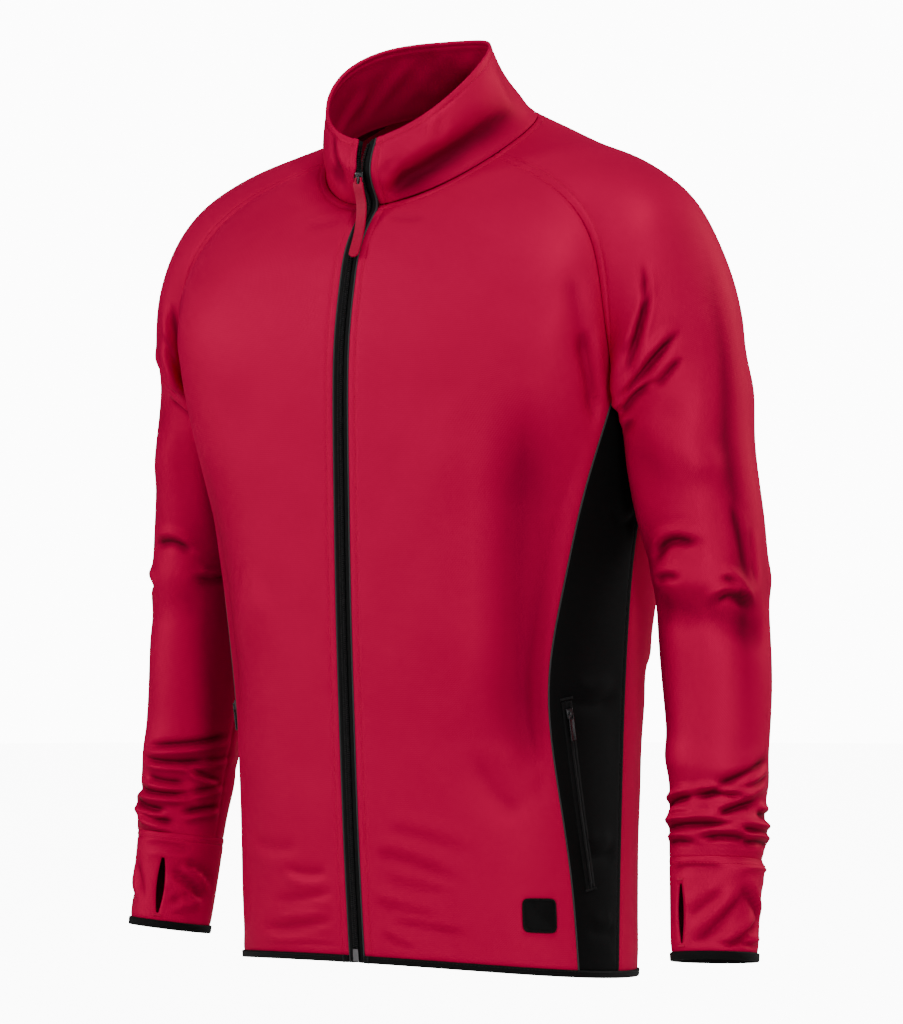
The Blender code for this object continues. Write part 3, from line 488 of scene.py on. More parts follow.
def gridNormals(points, closed=False):
    up = np.gradient(points, axis=0)
    if closed:
        along = np.roll(points, -1, axis=1) - np.roll(points, 1, axis=1)
    else:
        along = np.gradient(points, axis=1)
    return unit(np.cross(along, up))


def beside(distance, width):
    return np.exp(-((distance / width) ** 2))


# depth of the seams (edges) and of the topstitched lines beside them, by distance along the cloth
def seamDips(points, edges, stitched):
    lengths = {"left": arcLengths(points, 1), "bottom": arcLengths(points, 0)}
    lengths["right"] = lengths["left"][:, -1:] - lengths["left"]
    lengths["top"] = lengths["bottom"][-1:] - lengths["bottom"]
    dip = np.zeros(points.shape[:2])
    for edge in edges:
        dip += cloth["seamDip"] * beside(lengths[edge], cloth["seamWidth"])
    for edge, line in stitched:
        dip += cloth["stitchDip"] * beside(lengths[edge] - line, cloth["stitchWidth"])
    return dip, lengths


# each fold is a soft trough or ridge along a curve through three places, fading out at its ends
def foldLift(points, normals, folds, place, strength=1.0, narrow=1.0):
    lift = np.zeros(points.shape[:2])
    for fold in folds:
        width, height, ridge = fold[6:]
        width = width * (narrow if width < cloth["broadFold"] else 1.0)
        t = np.linspace(0, 1, 25)
        ways = fold[:6].reshape(3, 2).T
        weights = np.array([(1 - t) * (1 - 2 * t), 4 * t * (1 - t), t * (2 * t - 1)])
        line = place(*(ways @ weights))
        middle, reach = line.mean(0), np.linalg.norm(line - line.mean(0), axis=-1).max() + 4 * width
        near = np.linalg.norm(points - middle, axis=-1) < reach
        if not near.any():
            continue
        p, n = points[near], normals[near]
        starts, along = line[:-1], np.diff(line, axis=0)
        offset = p[:, None] - starts
        share = np.clip(np.sum(offset * along, -1) / np.sum(along * along, -1), 0, 1)
        away = offset - share[..., None] * along
        gap = np.linalg.norm(away, axis=-1)
        best, pick = gap.argmin(1), np.arange(len(p))
        gap, away, tangent = gap[pick, best], away[pick, best], along[best]
        at = (best + share[pick, best]) / len(along)
        side = np.sign(np.sum(np.cross(tangent, away) * n, -1))
        fade = ramp(np.minimum(at, 1 - at), -0.02, 0.3)
        profile = height * np.exp(-((gap / width) ** 1.5))
        profile += ridge * np.exp(-(((gap * side - 1.6 * width) / (1.2 * width)) ** 2))
        lift[near] += strength * fade * profile
    return lift


# slow, slight swelling of real cloth, made of a few crossing waves
def unevenness(points, size, seed):
    rng = np.random.default_rng(seed)
    lift = np.zeros(points.shape[:-1])
    for _ in range(9):
        direction = unit(rng.normal(size=3) * np.array([1.0, 1.0, 0.7]))
        length = rng.uniform(0.045, 0.11)
        lift += np.sin(points @ direction * 2 * np.pi / length + rng.uniform(0, 6.28)) * length
    return size * lift / 0.11 / 3


def meshOf(name, vertices, faces, uv=None):
    mesh = bpy.data.meshes.new(name)
    mesh.from_pydata(vertices, [], faces)
    if uv is not None:
        setUV(mesh, uv)
    mesh.shade_smooth()
    made = bpy.data.objects.new(name, mesh)
    bpy.context.scene.collection.objects.link(made)
    return made


def setUV(mesh, places):
    layer = mesh.uv_layers.new(name="clothUV")
    layer.data.foreach_set("uv", np.array(places, np.float32).reshape(-1))


def reworked(piece, change):  # changes a finished mesh through bmesh
    shape = bmesh.new()
    shape.from_mesh(piece.data)
    change(shape)
    shape.to_mesh(piece.data)
    shape.free()
    return piece


def weldSeam(piece):
    reworked(piece, lambda shape: bmesh.ops.remove_doubles(shape, verts=shape.verts, dist=cloth["weld"]))


# a closed shell of quads between two grids, with UVs in metres along the outer one
def clothShell(
    name, outer, inner, closed=False, leftOut=(), roundRim=True, paintedShade=None, inside=0.0, welded=None
):
    rows, columns = outer.shape[:2]
    total = rows * columns
    i, j = np.meshgrid(np.arange(rows - 1), np.arange(columns if closed else columns - 1), indexing="ij")
    corners = np.stack([np.stack([i + a, j + b], -1) for a, b in ((0, 0), (0, 1), (1, 1), (1, 0))], -2)
    keep = np.ones(i.shape, bool)
    for row, column in leftOut:
        keep[row, column] = False
    corners = corners[keep]
    quads = corners[..., 0] * columns + corners[..., 1] % columns
    edges, edgeCorners = (
        np.concatenate([of[:, [a, (a + 1) % 4]] for a in range(4)]) for of in (quads, corners)
    )
    border = ~np.isin(edges[:, 0] * total + edges[:, 1], edges[:, 1] * total + edges[:, 0])
    if welded is not None:  # from this row on, the first and last columns are one line
        ends = (edges % columns == 0).all(1) | (edges % columns == columns - 1).all(1)
        border &= ~(ends & (edges // columns >= welded).all(1))
    rim, rimCorners = edges[border][:, ::-1], edgeCorners[border][:, ::-1]
    fourCorners = np.concatenate([rimCorners, rimCorners[:, ::-1]], 1)
    flatOuter, flatInner = outer.reshape(-1, 3), inner.reshape(-1, 3)
    vertices = [flatOuter, flatInner]
    faces, faceCorners = [quads, quads[:, ::-1] + total], [corners, corners[:, ::-1]]
    if roundRim:  # one extra line of points gives the cut edge a rounded face
        onRim = np.unique(rim)
        row, column = onRim // columns, onRim % columns
        single = closed or (row >= welded if welded is not None else False)
        column = np.where(single, column, np.clip(column, 1, columns - 2))
        inwards = outer[np.clip(row, 1, rows - 2), column]
        middle = (flatOuter[onRim] + flatInner[onRim]) / 2
        vertices.append(middle + cloth["rimBulge"] * unit(flatOuter[onRim] - inwards))
        mid = 2 * total + np.searchsorted(onRim, rim)
        faces += [np.concatenate([rim, mid[:, ::-1]], -1), np.concatenate([mid, rim[:, ::-1] + total], -1)]
        faceCorners += [fourCorners] * 2
    else:
        faces.append(np.concatenate([rim, rim[:, ::-1] + total], -1))
        faceCorners.append(fourCorners)
    vertices, faces, faceCorners = (np.concatenate(parts) for parts in (vertices, faces, faceCorners))
    used = np.unique(faces)
    renumber = np.full(len(vertices), -1)
    renumber[used] = np.arange(len(used))
    wrapped = np.concatenate([outer, outer[:, :1]], 1) if closed else outer
    u, v = arcLengths(wrapped, 1), arcLengths(wrapped, 0)
    u = u - u[:, u.shape[1] // 2][:, None]
    at = faceCorners[..., 0], faceCorners[..., 1]
    made = meshOf(name, vertices[used].tolist(), renumber[faces].tolist(), np.stack([u[at], v[at]], -1))
    # painted shade: the hollow attribute holds the crease-shade mask on the outer layer and the value inside on
    # the whole inner layer, and the knit material darkens by it
    shades = np.zeros(len(vertices))
    if paintedShade is not None:
        shades[:total] = np.clip(paintedShade, 0, 1).reshape(-1)
        shades[total : 2 * total] = inside
    attribute = made.data.attributes.new("hollow", "FLOAT", "POINT")
    attribute.data.foreach_set("value", shades[used].astype(np.float32))
    made.data.validate()
    return made


def dress(piece, material, body, slot, *nodes):
    piece.data.materials.clear()
    piece.data.materials.append(material)
    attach(piece, body)
    if nodes:
        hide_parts(*nodes)
    return piece


# fine wales and courses of a knit, with a brushed fuzz over them
def knitGroup():
    group = bpy.data.node_groups.new("brushedKnit", "ShaderNodeTree")
    sockets = (
        ("Vector", "Vector", "INPUT"), ("Pitch", "Float", "INPUT"), ("Fuzz", "Float", "INPUT"),
        ("Rib", "Float", "INPUT"), ("Height", "Float", "OUTPUT"), ("Shade", "Float", "OUTPUT"),
        ("Cloud", "Float", "OUTPUT"),
    )
    for name, kind, way in sockets:
        group.interface.new_socket(name=name, in_out=way, socket_type="NodeSocket" + kind)
    begin, end = group.nodes.new("NodeGroupInput").outputs, group.nodes.new("NodeGroupOutput").inputs
    apart = addNode(group, "SeparateXYZ")
    across, down = apart.outputs[0], apart.outputs[1]
    turns = calc(group, "DIVIDE", 6.28318, begin["Pitch"])
    slanted = calc(group, "ADD", across, calc(group, "MULTIPLY", down, 0.55))
    wale = calc(group, "SINE", calc(group, "MULTIPLY", slanted, turns))
    course = calc(group, "SINE", calc(group, "MULTIPLY", down, calc(group, "MULTIPLY", turns, 0.8)))
    knit = calc(group, "ADD", calc(group, "MULTIPLY", wale, 0.7), calc(group, "MULTIPLY", course, 0.3))
    fuzz, cloud = (addNode(group, "TexNoise", Scale=a, Detail=b) for a, b in ((1500, 2), (22, 3)))
    rough = calc(group, "MULTIPLY", calc(group, "SUBTRACT", fuzz.outputs[0], 0.5), begin["Fuzz"])
    height = calc(group, "ADD", calc(group, "MULTIPLY", knit, begin["Rib"]), rough)
    joinUp(
        group, (begin["Vector"], apart.inputs[0]), (begin["Vector"], fuzz.inputs["Vector"]),
        (begin["Vector"], cloud.inputs["Vector"]), (height, end["Height"]),
        (calc(group, "ADD", height, 0.5), end["Shade"]), (cloud.outputs[0], end["Cloud"]),
    )
    return group


brushedKnit = knitGroup()


def knitMaterial(
    name, dark, light, roughness, sheen, pitch, rib, fuzz, bump, specular,
    tint=(1, 1, 1), satin=0.0, paintedShadeColour=None,
):
    material, tree, shader = newMaterial(name, light, roughness, satin, sheen, 0.35, specular)
    shader["Sheen Tint"].default_value = shader["Specular Tint"].default_value = (*tint, 1.0)
    uv = addNode(tree, "UVMap")
    uv.uv_map = "clothUV"
    knit = tree.nodes.new("ShaderNodeGroup")
    knit.node_tree = brushedKnit
    for socket, value in (("Pitch", pitch), ("Fuzz", fuzz), ("Rib", rib)):
        knit.inputs[socket].default_value = value
    height, shade, cloud = (knit.outputs[k] for k in ("Height", "Shade", "Cloud"))
    # the knit's dips take the darker colour, a fine painted shade, mixed with a random cloudy tone of the cloth
    shade = calc(tree, "ADD", calc(tree, "MULTIPLY", shade, 0.6), calc(tree, "MULTIPLY", cloud, 0.4))
    colour = mixColours(tree, shade, dark, light)
    if paintedShadeColour:  # painted shade: less light gets down into creases, so the hollow attribute mixes in this darker colour
        hollow = addNode(tree, "Attribute")
        hollow.attribute_name = "hollow"
        colour = mixColours(tree, hollow.outputs["Fac"], colour, paintedShadeColour)
    surface = addNode(tree, "Bump", Distance=bump, Strength=0.5)
    worn = calc(tree, "ADD", calc(tree, "MULTIPLY", cloud, 0.12), roughness - 0.06)
    joinUp(
        tree, (uv.outputs[0], knit.inputs["Vector"]), (height, surface.inputs["Height"]),
        (colour, shader["Base Color"]), (surface.outputs[0], shader["Normal"]), (worn, shader["Roughness"]),
    )
    return material


def castMaterial(name, colour, roughness, metallic, grain, specular=0.5):
    material, tree, shader = newMaterial(name, colour, roughness, metallic, specular=specular)
    noise = addNode(tree, "TexNoise", Scale=grain, Detail=3)
    surface = addNode(tree, "Bump", Distance=0.00005, Strength=0.4)
    grain = noise.outputs[0]
    mixed = mixColours(tree, grain, [c * 0.75 for c in colour], [min(1.0, c * 1.2) for c in colour])
    worn = calc(tree, "ADD", calc(tree, "MULTIPLY", grain, 0.2), roughness - 0.1)
    joinUp(
        tree, (addNode(tree, "TexCoord").outputs["Object"], noise.inputs["Vector"]),
        (grain, surface.inputs["Height"]), (surface.outputs[0], shader["Normal"]),
        (mixed, shader["Base Color"]), (worn, shader["Roughness"]),
    )
    return material


redKnit = knitMaterial(
    "redBrushedKnit", (0.455, 0.0014, 0.046), (0.575, 0.0024, 0.066), 0.5, 0.16, 0.0013, 0.5, 0.5, 0.00014,
    0.02, tint=(1.0, 0.02, 0.16), satin=0.16, paintedShadeColour=(0.098, 0.0044, 0.0145),
)
knits = [  # name, colours of the knit's dips and tops, roughness, sheen, pitch, rib, fuzz, bump, specular
    ("blackStretchKnit", (0.0018,) * 3, (0.0034,) * 3, 0.7, 0.01, 0.0011, 0.5, 0.4, 0.0001, 0.08),
    ("blackBinding", (0.0022,) * 3, (0.0042,) * 3, 0.65, 0.02, 0.0009, 0.8, 0.3, 0.0002, 0.1),
    ("wovenTape", (0.0022, 0.0022, 0.0024), (0.005, 0.005, 0.0052), 0.65, 0.02, 0.0008, 0.9, 0.2, 0.0002, 0.12),
    ("greyPiping", (0.028, 0.028, 0.03), (0.06, 0.06, 0.063), 0.6, 0.05, 0.001, 0.9, 0.2, 0.00015, 0.2),
]
blackKnit, bindingKnit, wovenTape, pipingCloth = (knitMaterial(*row) for row in knits)
casts = [  # name, colour, roughness, metallic, grain, specular
    ("blackCoil", (0.004, 0.004, 0.0042), 0.45, 0.0, 900, 0.22),
    ("gunmetal", (0.085, 0.085, 0.088), 0.28, 1.0, 600),
    ("nickel", (0.2, 0.2, 0.205), 0.22, 1.0, 600),
    ("redTab", (0.42, 0.001, 0.04), 0.5, 0.0, 500, 0.14),
    ("redThread", (0.52, 0.001, 0.056), 0.55, 0.0, 1200, 0.12),
    ("blackThread", (0.005, 0.005, 0.005), 0.5, 0.0, 1200, 0.2),
]
coilNylon, castMetal, brightMetal, redRubber, redThread, blackThread = (castMaterial(*row) for row in casts)
print("materials are mixed")


# folds of the cloth, by level and angle: three places along each fold, then in mm its width, its height
# (a trough is negative) and the height of the ridge beside it
foldRows = {
    "front_left": [
        (1.15, 7, 1.15, 15, 0.9, 33, 6.5, -0.8, 0.6), (1.45, 10, 1.4, 20, 1.22, 36, 7, -0.5, 0.4),
        (0.96, 8, 0.86, 18, 0.8, 30, 5, -0.4, 0.4), (0.7, 5, 0.6, 14, 0.5, 28, 5.5, -0.7, 0.6),
        (0.48, 10, 0.44, 20, 0.36, 34, 4.5, -0.7, 0.6), (0.35, 7, 0.25, 12, 0.15, 18, 4, -0.8, 0.5),
        (0.1, 19, 0.12, 24, 0.1, 29, 5, 0.8, 0), (6.75, 61, 6.2, 65, 5.6, 70, 8.5, -4, 1.6),
        (7.6, 55, 6.9, 59, 6.1, 62, 13, -1.8, 1), (6.1, 42, 3.85, 48, 1.5, 53, 38, -6, 0),
        (6.2, 24, 4.3, 27, 2.4, 29, 40, 3, 0), (9.7, 9, 9.45, 17, 9.3, 26, 7, -0.7, 0.5),
        (2.3, 34, 1.85, 42, 1.6, 52, 14, -1.3, 0.8),
    ],
    "front_right": [
        (0.62, 30, 0.68, 16, 0.78, 5, 5.5, -0.9, 0.8), (0.5, 30, 0.56, 18, 0.6, 7, 4, -0.8, 0.8),
        (1.02, 24, 0.94, 15, 0.98, 7, 6, -1, 0.8), (0.34, 38, 0.36, 20, 0.47, 5, 5, -1, 0.9),
        (0.26, 36, 0.28, 20, 0.3, 6, 3.8, -0.9, 0.9), (0.16, 22, 0.18, 13, 0.15, 4, 4, -0.7, 0.5),
        (1.3, 40, 1.2, 28, 1.25, 16, 8, -0.6, 0.5), (6.7, 58, 6.2, 62, 5.6, 67, 12, -3.6, 1),
        (7.5, 52, 6.8, 57, 6.1, 60, 13, -1.6, 1), (5.5, 46, 3.8, 50, 2.2, 53, 32, -2.6, 0),
        (9.6, 9, 9.4, 16, 9.2, 24, 7, -0.7, 0.5), (3.9, 20, 3.7, 31, 3.8, 40, 22, 1.1, 0),
    ],
    "back": [  # angles from the wearer's left round the back
        (6.6, 118, 6.1, 126, 5.8, 136, 13, -3.6, 1.4), (6.9, 120, 6.6, 131, 6.5, 142, 11, -2.4, 1.2),
        (6.6, 243, 6.15, 235, 5.75, 224, 13, -3.4, 1.4), (7, 241, 6.7, 230, 6.55, 219, 11, -2.2, 1),
        (3.1, 112, 2.95, 132, 3.05, 152, 12, -2, 1.2), (2.7, 246, 2.55, 226, 2.75, 205, 13, -2.1, 1.2),
        (3.6, 168, 3.45, 182, 3.55, 198, 14, -1.4, 1), (1.9, 122, 1.8, 146, 2, 168, 11, -1.5, 0.9),
        (1.4, 240, 1.3, 220, 1.45, 196, 10, -1.4, 0.9), (0.6, 130, 0.55, 145, 0.6, 160, 7, -1.2, 0.8),
        (0.45, 228, 0.4, 214, 0.5, 200, 6.5, -1.2, 0.8), (0.25, 172, 0.3, 182, 0.25, 193, 5.5, -1, 0.7),
        (9.4, 150, 9.25, 165, 9.35, 178, 9, -1.1, 0.7), (6.6, 184, 4.8, 181, 2.9, 179, 34, -2.2, 0),
    ],
    "side": [
        (4.9, 76, 4.6, 84, 4.7, 92, 9, -1.6, 1), (2.9, 63, 2.75, 75, 2.85, 88, 9, -1.2, 0.8),
        (1.3, 70, 1.2, 80, 1.3, 90, 8, -1.2, 0.8), (0.5, 73, 0.45, 82, 0.5, 89, 6, -0.9, 0.6),
    ],
    "sleeve_left": [  # from here on by level and turn
        (-2.9, 62, -2.1, 72, -1.4, 64, 6, -3, 2.2), (-1.75, 68, -2.05, 74, -2.45, 82, 6, -3, 2.6),
        (-1.1, 54, -1.42, 84, -1.7, 124, 7.5, -4.2, 3.2), (-1.05, 92, -1.2, 106, -1.35, 122, 7, -2.4, 1.4),
        (-0.72, 46, -1.02, 68, -1.22, 96, 7, -3.6, 2.4), (-0.45, 50, -0.55, 62, -0.6, 74, 7, -1.8, 1.2),
        (-3.2, 164, 1, 159, 5, 154, 15, -1.7, 0), (-1.6, 140, 1.4, 122, 4.6, 106, 17, 1.4, 0),
        (2, 62, 1.62, 88, 1.85, 120, 7.5, -3.4, 1.8), (2.35, 60, 2.25, 76, 2.35, 98, 7, -2.2, 1.2),
        (2.35, 130, 2.5, 145, 2.88, 160, 6.5, -2.2, 1.8), (2.86, 126, 2.66, 140, 2.95, 168, 6.5, -2.6, 2.4),
        (1.05, 152, 1.75, 158, 2.45, 162, 6.5, -1.3, 1), (1.55, 172, 2.05, 170, 2.6, 174, 6.5, -1.2, 0.8),
        (4.85, 206, 5.12, 150, 5.45, 100, 7.5, -3.6, 2.6), (5.05, 200, 5.22, 168, 5.3, 128, 6, -2.2, 1.6),
        (5.55, 34, 5.47, 62, 5.4, 100, 6, -3.6, 3), (5.42, 90, 5.38, 122, 5.42, 158, 5.5, -3, 2.6),
        (5.7, 118, 5.56, 142, 5.44, 176, 6, -3.4, 2.6), (5.58, 172, 5.62, 196, 5.58, 225, 6, -3, 2.6),
        (5.86, 34, 5.78, 88, 5.8, 150, 6.2, -4.6, 3.6), (5.8, 140, 5.84, 180, 5.82, 224, 6, -4, 3.4),
        (5.98, 100, 5.93, 134, 5.98, 168, 5.5, -3.6, 2.8), (6.02, 150, 5.97, 186, 6.02, 226, 5.5, -3.8, 3),
        (6.05, 40, 6, 66, 6.04, 100, 5, -2.4, 2), (5.68, 50, 5.64, 74, 5.66, 104, 5, -2, 1.6),
        (2.1, 230, 2.3, 265, 2.2, 305, 10, -3.4, 2.2), (2.75, 220, 2.85, 258, 2.75, 300, 9, -3, 2),
        (-1.6, 300, -1.3, 286, -1.2, 262, 9, -3.6, 2.4), (-0.6, 312, -0.75, 290, -0.7, 268, 9, -2.8, 1.8),
        (5.2, 240, 5.05, 285, 5.2, 330, 8, -2.4, 1.6), (5.75, 225, 5.65, 270, 5.75, 320, 7, -2.2, 1.4),
        (3.7, 330, 4.3, 345, 5.1, 350, 11, -1.6, 1),
    ],
    "sleeve_right": [
        (-2.7, 40, -2.25, 22, -1.75, 14, 8, -3.2, 2.2), (-2.2, 52, -1.95, 32, -1.7, 18, 8, -3.4, 2.2),
        (-1.3, 62, -1.45, 88, -1.6, 116, 8, -3.4, 2.6), (-0.75, 54, -0.95, 72, -1, 96, 8, -2.6, 1.6),
        (-1.2, 22, 1.8, 18, 5.2, 12, 16, -1.7, 0), (-2.4, 150, 1.2, 150, 5, 146, 15, -0.8, 0),
        (1.9, 66, 1.7, 92, 1.9, 126, 8, -3, 1.8), (2.7, 124, 2.55, 146, 2.8, 170, 8, -3, 2),
        (2.2, 20, 2.35, 44, 2.3, 66, 8, -2.2, 1.4), (5, 128, 4.9, 56, 4.66, -4, 6, -2.8, 2.4),
        (5.14, 130, 5.2, 76, 5.08, 20, 5.2, -2.6, 2.2), (5.42, 118, 5.48, 84, 5.46, 48, 5.5, -2.6, 2),
        (5.56, 140, 5.66, 92, 5.6, 40, 5.2, -3, 2.6), (5.18, 62, 5.33, 32, 5.38, 2, 5, -1.8, 1.6),
        (5.6, 50, 5.52, 22, 5.4, -6, 4.8, -1.6, 1.5), (5.74, 150, 5.86, 112, 5.9, 72, 6, -4, 3.4),
        (5.92, 58, 5.82, 28, 5.74, -4, 5.2, -2.4, 2.2), (5.92, 132, 6.02, 96, 6.06, 60, 5.5, -3.4, 2.8),
        (5.1, 34, 5.08, 14, 4.98, -10, 4.8, -1.4, 1.2), (5.75, 200, 5.6, 160, 5.7, 120, 7, -2.2, 1.4),
        (3.75, 354, 4.45, 357, 5.4, 360, 12, 2.6, 0), (2.2, 235, 2.4, 268, 2.25, 306, 10, -3.2, 2.2),
        (2.85, 222, 2.95, 260, 2.85, 298, 9, -2.8, 1.8), (-1.5, 302, -1.25, 284, -1.15, 258, 9, -3.4, 2.4),
        (5.25, 238, 5.1, 282, 5.25, 328, 8, -2.4, 1.6),
    ],
    "cuff_left": [
        (6.26, 120, 6.34, 175, 6.3, 240, 14, 3, 0), (6.4, 50, 6.33, 90, 6.38, 150, 5, -1.4, 1.2),
        (6.44, 150, 6.38, 190, 6.44, 240, 5.5, -1.4, 1.2), (7.4, 92, 7.1, 126, 6.62, 166, 6.5, -2.4, 2),
        (7.46, 128, 7.3, 160, 7.02, 196, 5.5, -2.8, 2.6), (7, 84, 6.84, 108, 6.6, 134, 6, -1.4, 1.2),
        (6.58, 150, 6.8, 178, 7.1, 206, 6, -2, 1.8), (7.34, 160, 7.4, 182, 7.36, 210, 5, -2.4, 2.4),
        (6.9, 220, 7, 265, 6.9, 310, 7, -1.6, 1.2), (7.3, 300, 7.2, 340, 7.3, 380, 6, -1.4, 1),
    ],
    "cuff_right": [
        (6.74, 66, 6.9, 34, 7.16, 0, 6, -2.4, 2.2), (6.6, 52, 6.68, 20, 6.94, -14, 5.5, -2, 1.8),
        (7.24, 62, 7.1, 34, 7.02, 2, 5, -1.6, 1.6), (6.96, 60, 7.02, 42, 7.18, 26, 4, -1.4, 1.4),
        (6.6, 132, 6.9, 112, 7.24, 98, 5.5, -1.8, 1.4), (6.45, 110, 6.4, 70, 6.48, 30, 5, -1.4, 1.2),
        (7.25, 120, 7.05, 150, 6.85, 175, 6.5, -1.8, 1.2), (6.8, 225, 6.9, 270, 6.8, 315, 7, -1.6, 1.2),
    ],
    "collar": [  # by share of the collar's height and angle
        (0.04, 6, 0.31, 48, 0.17, 110, 12.5, -9.2, 1), (0.18, 12, 0.26, 36, 0.27, 66, 9, -3.4, 1),
        (0.14, 9, 0.26, 18, 0.5, 27, 4.2, -2.2, 1.8), (0.1, 11, 0.18, 20, 0.34, 32, 4, -2.2, 1.8),
        (0.36, 10, 0.5, 17, 0.62, 22, 4.2, -1.4, 1.2), (0.6, 44, 0.72, 50, 0.86, 53, 6, -1.4, 1),
        (0.98, 329, 0.62, 338, 0.3, 353, 5.5, -3, 2.4), (0.2, 352, 0.34, 340, 0.46, 322, 7, -2.2, 1.2),
        (0.12, 150, 0.45, 160, 0.8, 166, 8, -1, 0.8), (0.15, 205, 0.5, 215, 0.85, 222, 8, -1, 0.8),
        (0.2, 100, 0.55, 108, 0.85, 112, 8, -0.9, 0.7), (0.2, 262, 0.55, 256, 0.85, 250, 8, -0.9, 0.7),
        (0.15, 330, 0.4, 338, 0.7, 344, 6, -1.2, 0.8),
    ],
    "inside": [  # soft folds of the facing, seen through the neck
        (0.9, 150, 0.5, 190, 0.2, 215, 6, 2.6, -1.2), (0.85, 185, 0.45, 215, 0.15, 235, 6, 2.8, -1.4),
        (0.8, 215, 0.45, 238, 0.15, 255, 5.5, 2.6, -1.2), (0.7, 130, 0.55, 160, 0.3, 190, 7, 2.2, -1),
        (0.6, 250, 0.4, 265, 0.2, 285, 6, 2, -1),
    ],
}
folds = {name: np.array(rows, float) / ([1] * 6 + [1000] * 3) for name, rows in foldRows.items()}


# painted crease shade: how deep a place lies below the cloth around it, as a share of a full crease, together
# with how far its cloth leans downwards, away from the light above
def paintedCreaseShade(points, lift, normals, closed=False):
    around = lift.copy()
    for _ in range(30):
        wide = np.pad(around, ((1, 1), (0, 0)), mode="edge")
        around = (wide[:-2] + 2 * wide[1:-1] + wide[2:]) / 4
        wide = np.pad(around, ((0, 0), (1, 1)), mode="wrap" if closed else "edge")
        around = (wide[:, :-2] + 2 * wide[:, 1:-1] + wide[:, 2:]) / 4
    depth = np.clip((around - lift) / cloth["fullCrease"], 0, 1)
    turned = gridNormals(points + lift[..., None] * normals, closed)
    down = np.clip((normals[..., 2] - turned[..., 2]) / cloth["fullTurn"], 0, 1)
    return np.clip(0.65 * depth + 0.55 * down, 0, 1)


def edgeAngle(level, side):
    level = np.asarray(level, float)
    below, above = sideSeams(np.minimum(level, underarm)), raglanSeams(np.maximum(level, underarm))
    return np.where(level < underarm, below[side], above[side])


def hemLevel(angle):
    low, high = (bodySurface(np.full(np.shape(angle), level), angle)[..., 2] for level in (0.0, 0.1))
    return 0.1 * binding["height"] / (high - low)


# levels of the rows: even steps by height, with extra lines above the hem and below the neck
def bodyLevels():
    level = np.linspace(0, neck, 400)
    height = arcLengths(bodySurface(level, 40.0 + 0 * level), 0)
    wanted = placesAlong(height[-1], int(height[-1] / cloth["pitch"]))
    return np.interp(wanted, height, level)


everyEdge = ("left", "right", "top", "bottom")
binding = {"height": 0.006, "hemHeight": 0.0061, "cuffHeight": 0.0071, "thickness": 0.003, "columns": 90}
zipEdge = 0.0081  # from the zip's middle to the edge of the red cloth
pieces = {}  # the outer grid of each cloth piece, by its node


def sewnPanel(points, folds, seed, stitched):
    normals = gridNormals(points)
    dips, lengths = seamDips(points, everyEdge, stitched)
    calm = ramp(np.minimum.reduce([lengths[edge] for edge in everyEdge]), 0.0, cloth["calmEdge"])
    lift = foldLift(points, normals, folds, bodySurface, cloth["bodyFolds"], cloth["bodyNarrow"])
    lift = (lift + unevenness(points, cloth["unevenBody"], seed)) * calm
    outer = points + (lift - dips)[..., None] * normals
    # painted shade in the creases and along the broadest folds
    broad = foldLift(points, normals, folds[folds[:, 6] > cloth["broadBody"]], bodySurface)
    shade = cloth["bodyShade"] * paintedCreaseShade(points, lift, normals)
    shade = shade + cloth["broadShade"] * np.clip(-broad / cloth["fullBroadBody"], 0, 1)
    return outer, outer - cloth["thickness"] * gridNormals(outer), shade


def onSide(side, *grids):  # on the wearer's right a grid is mirrored, with its columns in the other order
    if side == "left":
        return grids
    return [(mirrored(grid) if grid.ndim > 2 else grid)[:, ::-1] for grid in grids]


def sew(name, node, outer, inner, paintedShade=None, material=redKnit, slot="red_knit", **how):
    pieces[node] = outer
    return dress(clothShell(name, outer, inner, paintedShade=paintedShade, **how), material, "jacket", slot, node)


def bodyPanel(start, end, width):
    levels, angles = layOut(bodySurface, bodyLevels(), start, end, width)
    lowest = hemLevel(angles)
    return bodySurface(lowest + (neck - lowest) * (levels / neck), angles)


def makeFronts():
    points = bodyPanel(lambda l: zipAngle(l, zipEdge), lambda l: edgeAngle(l, "front"), 0.24)
    for side, seed in (("left", 3), ("right", 8)):
        stitched = (("left", cloth["stitchLine"]), ("top", cloth["neckLine"]))
        shapes = sewnPanel(points, folds[f"front_{side}"], seed, stitched)
        sew(f"redFront_{side}", f"front_{side}", *onSide(side, *shapes))


def makeBack():
    points = bodyPanel(lambda l: edgeAngle(l, "back"), lambda l: 360 - edgeAngle(l, "back"), 0.42)
    sew("redBack", "back", *sewnPanel(points, folds["back"], 21, (("top", cloth["neckLine"]),)))


def sidePlace(row, share):
    level = np.asarray(row, float) * underarmLevel(share)
    level = np.maximum(level, hemLevel(np.full(np.shape(level), 80.0)))
    return bodySurface(level, sideAngle(level, share))


def makeSides():
    height, width = 0.46, 0.11
    rows = placesAlong(height, int(height / cloth["pitch"])) / height
    rowGrid, shares = layOut(sidePlace, rows, lambda r: 0.0 * r, lambda r: 1.0 + 0.0 * r, width)
    level = rowGrid * underarmLevel(shares)
    lowest = hemLevel(sideAngle(level, shares))
    level = lowest + level * (1 - lowest / np.maximum(underarmLevel(shares), 1))
    points = bodySurface(level, sideAngle(level, shares))
    for side, seed in (("left", 31), ("right", 37)):
        outer, inner, _ = sewnPanel(points, folds["side"], seed, (("right", cloth["sideLine"]),))
        shapes = onSide(side, outer, inner)
        sew(f"blackSide_{side}", f"side_{side}", *shapes, material=blackKnit, slot="black_knit")


